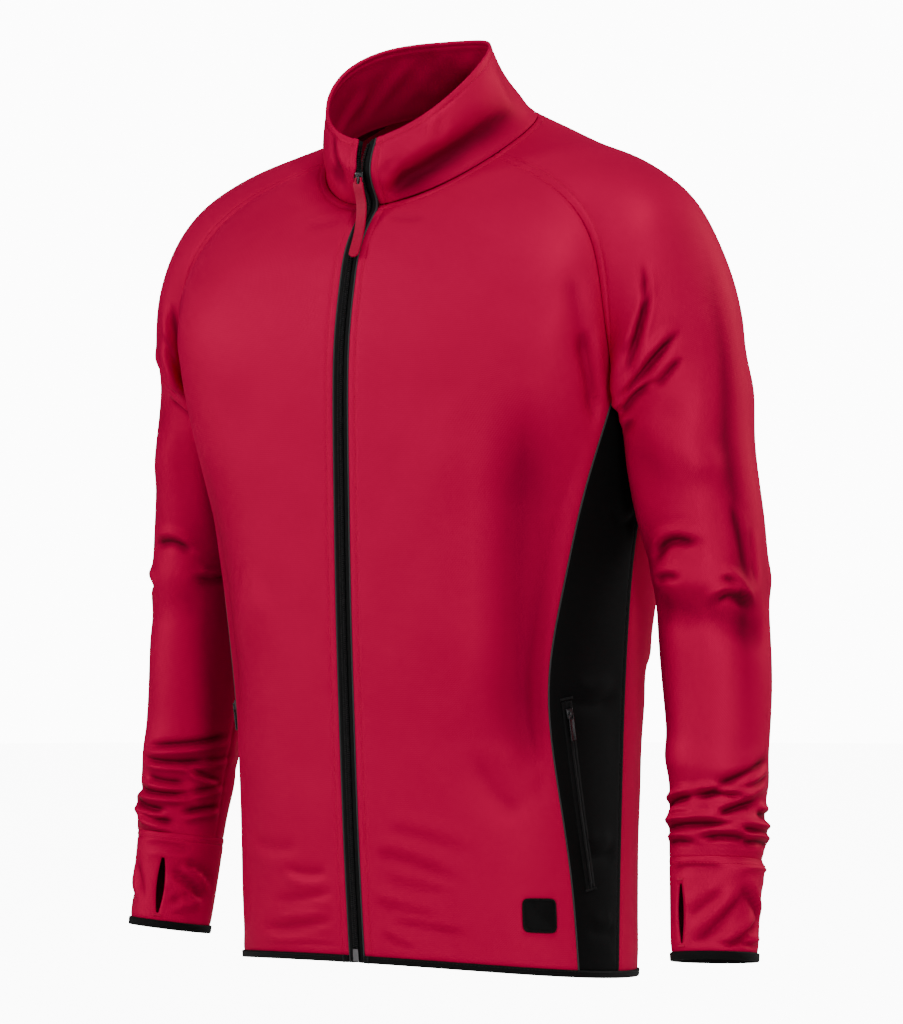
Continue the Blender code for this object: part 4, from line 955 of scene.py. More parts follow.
def solidFoldLift(level, turn):
    scale = np.array([0.06, 0.048 * math.pi / 180])  # metres a level and a degree
    place = np.stack(np.broadcast_arrays(level, turn), axis=-1) * scale
    lift = np.zeros(place.shape[:2])
    for *ends, width, height in solidFolds:
        start, end = np.array(ends).reshape(2, 2) * scale
        along = end - start
        share = np.clip((place - start) @ along / (along @ along), 0, 1)
        away = np.linalg.norm(place - start - share[..., None] * along, axis=-1)
        lift += height * np.exp(-((away / width) ** 2))
    return lift


# levels with more lines: middle, reach, how many more
creased = [(-1.8, 1.0, 1.3), (2.2, 0.8, 1.1), (5.5, 0.75, 2.2)]


def crowded(lengths, level, count):
    weight = 1 + sum(more * beside(level - middle, reach) for middle, reach, more in creased)
    steps = np.concatenate([[0], np.cumsum((weight[1:] + weight[:-1]) / 2 * np.diff(lengths))])
    first, last = edgeLines, lengths[-1] - edgeLines[::-1]
    ends = np.interp([first[-1], last[0]], lengths, steps)
    middle = np.interp(np.linspace(*ends, count + 2)[1:-1], steps, lengths)
    return np.concatenate([first, middle, last])


# evens out the sleeve along its length, away from its seams with the body
def evenedOut(points, joined, passes=60):
    along, down = arcLengths(points, 1), arcLengths(points, 0)
    edge = np.minimum(along, along[:, -1:] - along)
    free = ramp(edge, 0.006, 0.03)
    below = ramp(down - down[joined], 0.0, 0.03)
    free = np.where((np.arange(len(points)) > joined)[:, None], np.maximum(free, below), free)[..., None]
    soft = points.copy()
    for _ in range(passes):
        middle = (soft[:-2] + 2 * soft[1:-1] + soft[2:]) / 4
        soft[1:-1] += (middle - soft[1:-1]) * free[1:-1]
    return soft


sleeve = {
    "rowPitch": 0.0021, "pitch": 0.0027, "width": 0.26, "folds": 1.25, "narrow": 0.6, "uneven": 0.0008,
    "broad": 0.014, "fullBroad": 0.0017,
}


def closeUp(grid, row):  # from this row on, the first and last columns are one line
    grid[row:, 0] = grid[row:, -1] = (grid[row:, 0] + grid[row:, -1]) / 2
    return grid


# rows run down from the neck. The columns part at the back and front seams above the underarm
def makeSleeves():
    level = np.linspace(-1 / capShareOfLevel, cuffSeam, 500)
    lengths = arcLengths(sleeveSurface(level, 180.0 + 0 * level), 0)
    corner = np.interp((capUnderarm - 1) / capShareOfLevel, level, lengths)
    wanted = crowded(lengths, level, int(lengths[-1] / sleeve["rowPitch"]))
    joined = np.abs(wanted - corner).argmin()
    wanted[joined] = corner
    rowLevels = np.interp(wanted, lengths, level)
    start, end = (lambda l: 359.99 + 0 * l), (lambda l: 0.01 + 0 * l)
    rowGrid, turns = layOut(sleeveSurface, rowLevels, start, end, sleeve["width"], sleeve["pitch"])
    points = sleeveSurface(rowGrid, turns)
    seams = raglanSeams(neck)
    neckShare = arcLengths(points, 1)[0] / arcLengths(points, 1)[0, -1]
    neckAngles = seams["back"] + (seams["front"] - seams["back"]) * neckShare
    points[0] = bodySurface(np.full(points.shape[1], neck), neckAngles)
    points = evenedOut(closeUp(points, joined), joined)
    normals = unit(closeUp(gridNormals(points), joined))
    dips, lengths = seamDips(points, ("left", "right", "top", "bottom"), (("bottom", cloth["neckLine"]),))
    above = (np.arange(len(points)) < joined + 3)[:, None]
    edge = np.minimum(lengths["left"], lengths["right"])
    dips += above * cloth["stitchDip"] * beside(edge - cloth["stitchLine"], cloth["stitchWidth"])
    calm = np.where(above, ramp(edge, 0.0, 0.012), ramp(edge, -0.01, 0.01))
    calm = calm * ramp(lengths["bottom"], 0.0, 0.02)
    fade = np.clip((rowGrid + 1.4) / 0.6, 0, 1) * np.clip((cuffSeam - rowGrid) / 0.15, 0, 1)
    base = fade * solidFoldLift(rowGrid, turns)
    for side, seed, solidShare in (("left", 41, 1.0), ("right", 43, 0.4)):
        rows = folds[f"sleeve_{side}"]
        lift = foldLift(points, normals, rows, sleeveSurface, sleeve["folds"], sleeve["narrow"])
        lift = base * solidShare + (lift + unevenness(points, sleeve["uneven"], seed)) * calm
        # painted shade in the creases and along the broadest folds
        broad = foldLift(points, normals, rows[rows[:, 6] > sleeve["broad"]], sleeveSurface)
        broadShade = cloth["broadShade"] * np.clip(-broad / sleeve["fullBroad"], 0, 1) ** 1.5
        paintedShade = paintedCreaseShade(points, lift, normals) + broadShade
        outer = points + closeUp(lift - dips, joined)[..., None] * normals
        inner = outer - cloth["thickness"] * unit(closeUp(gridNormals(outer), joined))
        shapes = onSide(side, outer, inner, paintedShade)
        # the whole inner layer gets full painted shade
        weldSeam(sew(f"redSleeve_{side}", f"sleeve_{side}", *shapes, inside=1.0, welded=joined))
    sleeve["joined"] = joined


cuff = {
    "thumbTurn": 73.0, "holeTop": 6.54, "holeFoot": 7.38, "holeWidth": 0.0078, "band": 0.007, "height": 0.076,
    "columns": 96, "fade": 14, "radius": 0.036, "folds": 1.5, "narrow": 0.7, "uneven": 0.0004, "shade": 0.6,
    "line": 0.0056,
}


def cuffEnd():
    low, high = (armRing(np.array(level), np.array(0.0))[2] for level in (sleeveEnd, sleeveEnd - 0.1))
    return sleeveEnd - 0.1 * cuff["band"] / (high - low)


def makeCuffs():
    rows = placesAlong(cuff["height"], 14) / cuff["height"]
    levels = cuffSeam + (cuffEnd() - cuffSeam) * rows
    count = cuff["columns"]
    step = 360 / count
    turns = (cuff["thumbTurn"] - step / 2 + step * np.arange(count)) % 360
    turnGrid = (turns[::-1])[None] + 0 * levels[:, None]
    levelGrid = levels[:, None] + 0 * turnGrid
    slot = (levelGrid > cuff["holeTop"]) & (levelGrid < cuff["holeFoot"])
    apart = (turnGrid - cuff["thumbTurn"] + 180) % 360 - 180
    # the two lines of points beside the slit part, and their neighbours with them
    share = np.clip((levelGrid - cuff["holeTop"]) / (cuff["holeFoot"] - cuff["holeTop"]), 0, 1)
    parting = np.sin(np.pi * share) ** 0.9
    fade = np.exp(-(((np.abs(apart) - step / 2) / cuff["fade"]) ** 2))
    shift = np.sign(apart) * cuff["holeWidth"] / 2 * parting * fade / (cuff["radius"] * math.pi / 180)
    turnGrid = turnGrid + np.where(np.abs(apart) < 60, shift, 0)
    turnGrid = turnGrid - np.sign(apart) * parting * step / 2 * (np.abs(apart) < step)
    points = np.array([armRing(levelGrid[k], np.radians(turnGrid[k])) for k in range(len(levels))])
    normals = gridNormals(points, True)
    lengths = arcLengths(points, 0)
    below = lengths[-1:] - lengths
    dips = cloth["seamDip"] * (beside(lengths, cloth["seamWidth"]) + beside(below, cloth["seamWidth"]))
    dips += cloth["stitchDip"] * beside(lengths - cuff["line"], cloth["stitchWidth"])
    calm = ramp(np.minimum(lengths, below), 0, 0.01)
    column = np.abs(apart[0]).argsort()[:2].min()
    hole = [row for row in range(len(levels) - 1) if slot[row, column] and slot[row + 1, column]]
    for side, seed, cut in (("left", 51, column), ("right", 53, count - 2 - column)):
        place = lambda l, t: armRing(l, np.radians(t))
        lift = foldLift(points, normals, folds[f"cuff_{side}"], place, cuff["folds"], cuff["narrow"])
        lift = (lift + unevenness(points, cuff["uneven"], seed)) * calm
        outer = points + (lift - dips)[..., None] * normals
        inner = outer - cloth["thickness"] * gridNormals(outer, True)
        # painted shade in the creases, and full painted shade over the inner layer
        shapes = onSide(side, outer, inner, cuff["shade"] * paintedCreaseShade(points, lift, normals, True))
        leftOut = [(row, cut) for row in hole]
        sew(f"redCuff_{side}", f"cuff_{side}", *shapes, closed=True, leftOut=leftOut, inside=1.0)


# the stand collar, two layers thick, with a rounded top edge and a hollow above its seam
# at the wearer's right end it folds over its zip tape above the slider
collar = {
    "height": 0.085, "width": 0.42, "calmEnds": 0.02, "calmTop": 0.01, "shade": 0.8, "deepShade": 0.85,
    "fullDepth": 0.0085, "hollow": 0.0016, "hollowAt": 0.01, "hollowWidth": 0.009, "thickness": 0.0022,
    "fold": 0.0012, "uneven": 0.0004, "flapReach": 0.0054, "flapLift": 0.0026, "flapShares": (0.36, 0.6),
    "flapAngles": (348.0, 353.5),
}


def makeCollar():
    def start(s):
        return zipAngle(neck + s, zipEdge)

    def end(s):
        return 360 - zipAngle(neck + s, zipEdge - collar["flapReach"] * ramp(s, *collar["flapShares"]))

    shares = placesAlong(collar["height"], 12) / collar["height"]
    shareGrid, angles = layOut(collarSurface, shares, start, end, collar["width"])
    points = collarSurface(shareGrid, angles)
    normals = gridNormals(points)
    stitched = (("top", cloth["neckLine"]), ("left", cloth["stitchLine"]), ("right", cloth["stitchLine"]))
    dips, lengths = seamDips(points, ("left", "right", "bottom"), stitched)
    top = lengths["top"]
    edge = np.minimum(lengths["left"], lengths["right"])
    calm = ramp(edge, 0, collar["calmEnds"]) * ramp(top, 0, collar["calmTop"])
    lift = foldLift(points, normals, folds["collar"], collarSurface)
    lift = (lift + unevenness(points, collar["uneven"], 61)) * calm
    flap = collar["flapLift"] * ramp(shareGrid, *collar["flapShares"]) * ramp(angles, *collar["flapAngles"])
    # painted shade in the creases, deepest in the valley above the neck seam
    paintedShade = collar["shade"] * paintedCreaseShade(points, lift, normals)
    paintedShade = np.maximum(paintedShade, collar["deepShade"] * np.clip(-lift / collar["fullDepth"], 0, 1))
    around = 0.35 + 0.65 * ramp(np.minimum(angles, 360 - angles), 20, 60)
    hollow = collar["hollow"] * around * beside(lengths["bottom"] - collar["hollowAt"], collar["hollowWidth"])
    outer = points + (lift + flap - dips - hollow)[..., None] * normals
    thick = collar["thickness"] + collar["fold"] * (1 - ramp(top, 0.0, 0.005))
    inside = foldLift(points, normals, folds["inside"], collarSurface)
    thick = thick * ramp(top, -0.004, 0.002) + inside * ramp(top, 0.004, 0.012)
    sew("redCollar", "collar", outer, outer - thick[..., None] * gridNormals(outer), paintedShade)


# a section carried along a line, with UVs along it and round it
def swept(name, rings, line, closed, step):
    many, count = rings.shape[:2]
    faces = []
    for i in range(many if closed else many - 1):
        a, b = i * count, ((i + 1) % many) * count
        faces += [(a + j, b + j, b + (j + 1) % count, a + (j + 1) % count) for j in range(count)]
    if not closed:
        faces += [tuple(range(count)), tuple(range((many - 1) * count, many * count))[::-1]]
    made = meshOf(name, rings.reshape(-1, 3).tolist(), faces)
    reworked(made, lambda shape: bmesh.ops.recalc_face_normals(shape, faces=shape.faces))
    far = arcLengths(np.concatenate([line, line[:1]]) if closed else line, 0)
    uv = []
    for polygon in made.data.polygons:
        ids = np.array(polygon.vertices)
        at = ids // count
        if closed and np.ptp(at) > 1:
            at[at == 0] = many
        uv.append(np.stack([far[at], ids % count * step], -1))
    setUV(made.data, np.concatenate(uv))
    return made


# a binding folded over an edge: its section, by share of its height and of its thickness
halfSection = [(0.02, 0.3), (0.12, 0.46), (0.4, 0.5), (0.75, 0.5), (0.97, 0.44), (1.0, 0.24)]
bindingSection = halfSection + [(a, -b) for a, b in halfSection[::-1]]


def bind(name, node, edge, up, out, height, closed):
    rings = np.array([edge + a * height * up + b * binding["thickness"] * out for a, b in bindingSection])
    band = swept(name, rings.transpose(1, 0, 2), edge, closed, 0.001)
    dress(band, bindingKnit, "jacket", "black_knit", node)


def makeBindings():
    first = float(zipAngle(0.0, zipEdge))
    angles = np.linspace(first, 360 - first, 300)
    foot = bodySurface(0 * angles, angles)
    up, out = unit(bodySurface(hemLevel(angles), angles) - foot), bodyNormal(0 * angles + 0.03, angles)
    bind("hemBand", "hem_binding", foot, up, out, binding["hemHeight"], False)
    count = binding["columns"]
    turns = np.linspace(0, 2 * np.pi, count, endpoint=False)
    foot = armRing(np.full(count, sleeveEnd), turns)
    up = unit(armRing(np.full(count, cuffEnd()), turns) - foot)
    out = foot - armRing(np.full(count, sleeveEnd), turns + np.pi)
    out = unit(out - np.sum(out * up, -1, keepdims=True) * up)
    for side in ("left", "right"):
        edges = [toSide(side, v) for v in (foot, up, out)]
        bind(f"cuffBand_{side}", f"cuff_binding_{side}", *edges, binding["cuffHeight"], True)


print("cutting the cloth")
makeFronts()
makeBack()
makeSides()
makeSleeves()
makeCuffs()
makeCollar()
makeBindings()
print("cloth is sewn together")

# front zip
def onZip(level, x):  # the zip rounds the corner at the neck seam, where the cloth is folded sharply
    corner = beside(level - neck, 0.35)[..., None]
    return zipSurface(level, x) * (1 - corner) + zipLine(level, x) * corner


zipStrips = {  # distances from the zip's middle and lifts off the cloth, in mm, and the strip's thickness
    "zipTape": (
        (0.3, 2.6, 3.0, 4.6, 6.2, 6.4), (-1.6, -1.5, -0.3, -0.2, -0.3, -0.5),
        0.0009, wovenTape, "zip_tape",
    ),
    "zipPiping": (
        (6.6, 6.7, 7.0, 7.25, 7.5, 7.8, 7.9), (-1.0, -0.3, 0.2, 0.4, 0.2, -0.3, -1.0),
        0.0012, pipingCloth, "piping",
    ),
}


def makeTapes():
    level = np.linspace(0.0, collarEdge, 2000)
    height = arcLengths(zipSurface(level, 0.0), 0)
    levels = np.interp(np.linspace(0, height[-1], 260), height, level)
    for name, (edges, lifts, thickness, material, slot) in zipStrips.items():
        grid, x = np.meshgrid(levels, np.array(edges) / 1000, indexing="ij")
        normals = zipNormal(grid, x)
        outer = onZip(grid, x) + (np.array(lifts) / 1000)[None, :, None] * normals
        inner = outer - thickness * normals
        for side in ("left", "right"):
            shapes = onSide(side, outer, inner)
            sew(f"{name}_{side}", f"{slot}_{side}", *shapes, material=material, slot=slot, roundRim=False)


makeTapes()
print("zip is set in")

# hard pieces, modelled once about the origin
def unselect():
    bpy.ops.object.select_all(action="DESELECT")


def chooseFaces(test):  # in edit mode, selects faces by their middle and normal
    bpy.ops.mesh.select_all(action="DESELECT")
    shape = bmesh.from_edit_mesh(bpy.context.object.data)
    for face in shape.faces:
        if test(face.calc_center_median(), face.normal):
            face.select_set(True)
    bmesh.update_edit_mesh(bpy.context.object.data)


# each step: which faces (None keeps those of the step before), operation and its settings
def edit(*steps):
    bpy.ops.object.mode_set(mode="EDIT")
    for faces, operation, settings in steps:
        if faces == "all":
            bpy.ops.mesh.select_all(action="SELECT")
        elif faces:
            chooseFaces(faces)
        operation(**settings)
    bpy.ops.object.mode_set(mode="OBJECT")


inset, move, resize = bpy.ops.mesh.inset, bpy.ops.transform.translate, bpy.ops.transform.resize


def bevelAll(width, segments=2):
    return "all", bpy.ops.mesh.bevel, {"offset": width, "segments": segments, "affect": "EDGES"}


def facing(axis, most=0.9):
    return lambda middle, normal: normal[axis] * np.sign(most) > abs(most)


# a bevelled block as a start; x is across, y up and z out of the cloth
def block(name, size, at=(0, 0, 0), bevel=0.0):
    unselect()
    bpy.ops.mesh.primitive_cube_add(size=1, location=at, scale=size)
    made = bpy.context.object
    made.name = name
    bpy.ops.object.transform_apply(location=True, rotation=True, scale=True)
    if bevel:
        edit(bevelAll(bevel))
    return made


def joined(name, *parts):
    unselect()
    for part in parts:
        part.select_set(True)
    bpy.context.view_layer.objects.active = parts[0]
    if len(parts) > 1:
        bpy.ops.object.join()
    made = bpy.context.object
    made.name = made.data.name = name
    unselect()
    return made


def placing(origin, across, up, out):
    return Matrix([[across[k], up[k], out[k], origin[k]] for k in range(3)] + [[0, 0, 0, 1]])


# moves the finished piece's points to their place, and on the wearer's right mirrors them
def settle(piece, where, mirror=False):
    piece.data.transform(where)
    if mirror:
        piece.data.transform(Matrix.Scale(-1, 4, (1, 0, 0)))
        piece.data.flip_normals()
    piece.data.shade_smooth()
    unselect()
    piece.select_set(True)
    bpy.context.view_layer.objects.active = piece
    bpy.ops.object.shade_smooth_by_angle(angle=math.radians(35))
    unselect()
    return piece


# one mesh holding a copy of the master at each place
def copiesOf(name, master, origins, across, up, out, flipped=False):
    count = len(master.data.vertices)
    flat = np.empty(count * 3)
    master.data.vertices.foreach_get("co", flat)
    axes = np.stack([across, up, out], axis=1)
    points = np.einsum("vk,nkc->nvc", flat.reshape(-1, 3), axes) + origins[:, None]
    faces = [list(p.vertices) for p in master.data.polygons]
    every = [[v + n * count for v in face] for n in range(len(origins)) for face in faces]
    made = meshOf(name, points.reshape(-1, 3).tolist(), every)
    if flipped:
        made.data.flip_normals()
    return made


def retire(*masters):
    for master in masters:
        bpy.data.objects.remove(master, do_unlink=True)


frontZip = {
    "pitch": 0.0016, "tooth": (0.0024, 0.0009, 0.0017), "foot": 0.013, "head": 0.003, "inwards": 0.00005,
}


def makeTooth():
    tooth = block("coilTooth", frontZip["tooth"], (0.0013, 0, 0))
    edit(
        (facing(0, -0.9), inset, {"thickness": 0.0002}), (None, move, {"value": (-0.00025, 0, 0)}),
        (facing(2), inset, {"thickness": 0.00022}), (None, move, {"value": (0, 0, 0.00022)}),
    )
    unselect()
    return tooth


def makeTeeth():
    tooth = makeTooth()
    level = np.linspace(0.0, collarEdge, 3000)
    height = arcLengths(zipSurface(level, 0.001), 0)
    pitch = frontZip["pitch"]
    for side, shift in (("left", 0.0), ("right", 0.5)):
        steps = np.arange(frontZip["foot"] + shift * pitch, height[-1] - frontZip["head"], pitch)
        at = np.interp(steps, height, level)
        corner = beside(at - neck, 0.35)[:, None]
        x = frontZip["inwards"]
        edge, beyond = (zipSurface(a, x) * (1 - corner) + zipLine(a, x) * corner for a in (at, at + 0.02))
        out = zipNormal(at, 0.0001 + 0 * at)
        up = unit(beyond - edge)
        axes = [toSide(side, v) for v in (edge - 0.0002 * out, unit(np.cross(up, out)), up, out)]
        piece = copiesOf(f"zipTeeth_{side}", tooth, *axes, flipped=side == "right")
        dress(piece, coilNylon, "jacket", "zip_coil", f"zip_teeth_{side}")
    retire(tooth)


sliderColumns = ("width", "height", "plate", "crownWidth", "crownHeight", "rise", "seat")
slider = dict(zip(sliderColumns, (0.008, 0.01, 0.0018, 0.0026, 0.005, 0.0024, 0.0009)))
pocketSlider = dict(zip(sliderColumns, (0.0064, 0.008, 0.0018, 0.0022, 0.004, 0.002, 0.002)))


# cast body, narrower at its foot and raised along the middle of its top, with the bridge that the pull hangs on
def makeSlider(name, size):
    top = size["seat"] + size["plate"]
    body = block(name, (size["width"], size["height"], size["plate"]), (0, 0, top - size["plate"] / 2))
    edit(
        (facing(1, -0.9), resize, {"value": (0.74, 1, 1)}),
        ("all", bpy.ops.mesh.subdivide, {"number_cuts": 1}),
        (facing(2), inset, {"thickness": size["width"] * 0.1}), (None, move, {"value": (0, 0, 0.00025)}),
        bevelAll(0.00025),
    )
    crown = (size["crownWidth"], size["crownHeight"], size["rise"])
    bridge = block("bridge", crown, (0, 0, top + size["rise"] / 2))
    edit((facing(2), resize, {"value": (0.85, 0.62, 1)}), bevelAll(0.00045, 3))
    return joined(name, body, bridge)


def frontZipFrame(low, high):
    foot = zipSurface(low, 0.0)
    up, across = unit(zipSurface(high, 0.0) - foot), np.array([1.0, 0.0, 0.0])
    return placing(foot, across, up, unit(np.cross(across, up)))


pullTab = {
    "width": 0.0095, "thickness": 0.0015, "slot": 0.0019, "length": 0.067, "head": 0.0009, "headLevels": 0.12,
    "levels": 4.0, "corner": 0.003, "taper": 0.3, "slotEnd": 0.62, "edge": 0.00035,
}
pullLine = sections(
    "down x y z",
    [(0.0, 0.0, -0.1119, -0.057), (1.0, 0.001, -0.113, -0.065), (2.0, 0.0026, -0.1112, -0.08),
     (3.0, 0.0045, -0.1175, -0.102), (4.0, 0.0062, -0.1285, -0.122)],
)


# the moulded red tab: a strip carried down its own line, forked at the top, with rounded corners
def makePullTab():
    unselect()
    bpy.ops.mesh.primitive_grid_add(x_subdivisions=10, y_subdivisions=44, size=1)
    tab = bpy.context.object
    evenly = ("all", bpy.ops.mesh.normals_make_consistent, {"inside": False})
    edit(evenly)
    half, corner, head = pullTab["width"] / 2, pullTab["corner"], pullTab["headLevels"]
    places = np.array([v.co for v in tab.data.vertices])
    down = (0.5 - places[:, 1]) * (pullTab["levels"] + head) - head
    end = (pullTab["levels"] - down) / pullTab["levels"] * pullTab["length"]
    narrow = 1 - pullTab["taper"] * ramp(0.52 - down, 0.0, 0.16)
    cut = np.where(end < corner, corner - np.sqrt(np.maximum(corner**2 - (corner - end) ** 2, 0)), 0)
    path = pullLine(np.clip(down, 0, pullTab["levels"]))
    middle = np.stack([path["x"], path["y"], path["z"]], -1)
    start, second = (np.array([float(pullLine(d)[k]) for k in "xyz"]) for d in (0.0, 0.3))
    middle += np.where(down[:, None] < 0, down[:, None] / head * pullTab["head"] * unit(second - start), 0)
    middle[:, 0] += places[:, 0] * 2 * half * narrow * (half - cut) / half
    for vertex, place in zip(tab.data.vertices, middle):
        vertex.co = place
    slotEnd = float(pullLine(pullTab["slotEnd"])["z"])

    def inSlot(m, n):
        centre = float(np.interp(-m.z, [0.057, 0.065, 0.08], [0.0, 0.001, 0.0026]))
        return abs(m.x - centre) < pullTab["slot"] and slotEnd < m.z < start[2] + 0.0001

    edit((inSlot, bpy.ops.mesh.delete, {"type": "FACE"}), evenly)
    thick = tab.modifiers.new("wall", "SOLIDIFY")
    thick.thickness, thick.offset = pullTab["thickness"], 0
    soft = tab.modifiers.new("softEdge", "BEVEL")
    soft.width, soft.segments, soft.limit_method = pullTab["edge"], 2, "ANGLE"
    for modifier in ("wall", "softEdge"):
        bpy.ops.object.modifier_apply(modifier=modifier)
    return joined("pullTab", tab)


def makeZipHardware():
    makeTeeth()
    place = frontZipFrame(sliderLevel, sliderLevel + 0.1)
    dress(settle(makeSlider("zipSlider", slider), place), castMetal, "jacket", "gunmetal", "zip_slider")
    dress(settle(makePullTab(), Matrix.Identity(4)), redRubber, "front_tab", "red_tab", "zip_pull")
    box = block("zipBox", (0.0056, 0.011, 0.0032), (0, 0.0055, -0.0004), 0.0004)
    slot = lambda m, n: n.z > 0.9 and abs(m.x) < 0.001
    edit((slot, inset, {"thickness": 0.0008}), (None, move, {"value": (0, 0, -0.0004)}))
    box = settle(joined("zipBox", box), frontZipFrame(0.012, 0.13))
    dress(box, brightMetal, "jacket", "gunmetal", "zip_box")


makeZipHardware()
print("zip runs")

# pockets
pocket = {
    "top": (2.78, 65.5), "foot": (0.88, 76.0), "pullLength": 0.022, "pullWidth": 0.0048, "pullThick": 0.0011,
    "sliderBelow": 0.12, "pinHeight": 0.0011, "coilFoot": 0.004, "coilHead": 0.006, "coilPitch": 0.0014,
    "places": (-5.0, -4.7, -4.0, -3.2, -2.5, -2.2, -1.6, -0.8, 0, 0.8, 1.6, 2.2, 2.5, 3.2, 4.0, 4.7, 5.0),
    "lifts": (0.5, 0.9, 0.9, 1.2, 1.1, 0.7, 0.7, 1.2, 1.5, 1.2, 0.7, 0.7, 1.1, 1.2, 0.9, 0.9, 0.5),
}


def pocketAxes(level):
    (high, highAngle), (low, lowAngle) = pocket["top"], pocket["foot"]

    def at(l):
        return l, lowAngle + (highAngle - lowAngle) * (l - low) / (high - low)

    foot = bodySurface(*at(level))
    up = unit(bodySurface(*at(level + 0.05)) - foot)
    out = bodyNormal(*at(level))
    out = unit(out - np.sum(out * up, -1, keepdims=True) * up)
    return foot, unit(np.cross(up, out)), up, out


def makePocketPull():
    thick = pocket["pullThick"]
    body = block("pocketPull", (pocket["pullWidth"], pocket["pullLength"] - 0.004, thick), (0, -0.013, 0))
    raised = {"TRANSFORM_OT_shrink_fatten": {"value": -0.0002}}
    edit(
        (lambda m, n: abs(n.z) > 0.9, inset, {"thickness": 0.0008}),
        (None, bpy.ops.mesh.extrude_region_shrink_fatten, raised), bevelAll(0.0002),
    )
    arms = [block("arm", (0.0009, 0.0045, thick), (x, -0.0018, 0), 0.0002) for x in (-0.00195, 0.00195)]
    pin = block("pin", (pocket["pullWidth"], 0.0009, thick), (0, -0.0003, 0), 0.0003)
    return joined("pocketPull", body, *arms, pin)


def makePockets():
    levels = np.linspace(pocket["foot"][0], pocket["top"][0], 120)
    foot, across, up, out = pocketAxes(levels)
    places, lifts = (np.array(pocket[k])[None, :, None] * mm for k in ("places", "lifts"))
    flat = foot[:, None] + places * across[:, None]
    outer, inner = flat + lifts * out[:, None], flat + 0.0001 * out[:, None]
    middle = pocketAxes(np.array(pocket["top"][0] - pocket["sliderBelow"]))
    tooth = makeTooth()
    height = arcLengths(foot, 0)
    steps = np.arange(pocket["coilFoot"], height[-1] - pocket["coilHead"], pocket["coilPitch"])
    foot, across, up, out = pocketAxes(np.interp(steps, height, levels))
    axes = (foot - 0.0013 * across + 0.0012 * out, unit(across + 0.25 * up), up, out)
    pin = middle[0] + (pocketSlider["seat"] + pocketSlider["plate"] + pocket["pinHeight"]) * middle[3]
    tape = {"material": wovenTape, "slot": "zip_tape", "roundRim": False}
    for side in ("left", "right"):
        mirror = side == "right"
        sew(f"pocketTape_{side}", f"pocket_zip_{side}", *onSide(side, outer, inner), **tape)
        coil = copiesOf(f"pocketCoil_{side}", tooth, *[toSide(side, a) for a in axes], flipped=mirror)
        dress(coil, coilNylon, "jacket", "zip_coil")
        body = settle(makeSlider(f"pocketSlider_{side}", pocketSlider), placing(*middle), mirror)
        dress(body, castMetal, "jacket", "gunmetal", f"pocket_slider_{side}")
        pull = settle(makePocketPull(), placing(pin, *middle[1:]), mirror)
        pull.name = f"pocketPull_{side}"
        dress(pull, castMetal, f"pocket_tab_{side}", "gunmetal", f"pocket_pull_{side}")
    retire(tooth)


makePockets()
print("pockets are set in")

# patch
patch = {
    "place": (0.61, 55.6), "size": 0.028, "power": 7.0,
    "rings": (0.0, 0.25, 0.5, 0.7, 0.8, 0.83, 0.86, 0.93, 0.97, 1.0),
    "lifts": (0.85, 0.85, 0.85, 0.85, 0.85, 0.65, 0.95, 1.25, 1.1, 0.5),
}


def makePatch():
    power = patch["power"]
    rings, lifts = np.array(patch["rings"])[:, None], np.array(patch["lifts"])[:, None, None] * mm
    turns = np.linspace(0, 2 * np.pi, 72, endpoint=False)
    square = (np.abs(np.cos(turns)) ** power + np.abs(np.sin(turns)) ** power) ** (-1 / power)
    up, across = (rings * (square * way(turns))[None] * patch["size"] / 2 for way in (np.sin, np.cos))
    level0, angle0 = patch["place"]
    middle = bodySurface(level0, angle0)
    perLevel = np.linalg.norm(bodySurface(level0 + 0.1, angle0) - middle) / 0.1
    perDegree = np.linalg.norm(bodySurface(level0, angle0 + 1.0) - middle)
    level, angle = level0 + up / perLevel, angle0 + across / perDegree
    normals, base = bodyNormal(level, angle), bodySurface(level, angle)
    outer, inner = base + (lifts + 0.0003) * normals, base + 0.0002 * normals
    how = {"material": bindingKnit, "slot": "black_knit", "closed": True, "roundRim": False}
    weldSeam(sew("hemPatch", "patch", outer[::-1], inner[::-1], **how))
    return base[7], base[9], normals[8]


patchBorder = makePatch()


# piping beside the side panels
piping = {"radius": 0.00075, "sides": 8}


def makeSidePiping():
    levels = np.linspace(0.07, 5.97, 260)
    angles = sideSeams(levels)["front"]
    out = bodyNormal(levels, angles)
    line = bodySurface(levels, angles) - 0.0002 * out
    turns = np.linspace(0, 2 * np.pi, piping["sides"], endpoint=False)[None, :, None]
    for side in ("left", "right"):
        middle, outwards = toSide(side, line), toSide(side, out)
        along = unit(np.gradient(middle, axis=0))
        outwards = unit(outwards - np.sum(outwards * along, -1, keepdims=True) * along)
        across = np.cross(along, outwards)[:, None]
        about = np.cos(turns) * outwards[:, None] + np.sin(turns) * across
        ring = middle[:, None] + piping["radius"] * about
        tube = swept(f"sidePiping_{side}", ring, middle, False, 0.0008)
        dress(tube, pipingCloth, "jacket", "piping")


makeSidePiping()
print("trim is on")

# stitching
thread = {
    "pitch": 0.0031, "length": 0.0025, "radius": 0.0003, "lift": 0.0001, "tackPitch": 0.00042, "lean": 0.18,
}


def makeStitch():
    unselect()
    bpy.ops.mesh.primitive_uv_sphere_add(segments=6, ring_count=4, radius=1.0, rotation=(math.pi / 2, 0, 0))
    stitch = bpy.context.object
    bpy.ops.object.transform_apply(location=True, rotation=True, scale=True)
    edit(("all", resize, {"value": (thread["radius"], thread["length"] / 2, thread["radius"])}))
    unselect()
    return stitch


def along(distances, lengths, line):  # points of a line at distances from its start
    return np.stack([np.interp(distances, lengths, line[:, k]) for k in range(3)], -1)


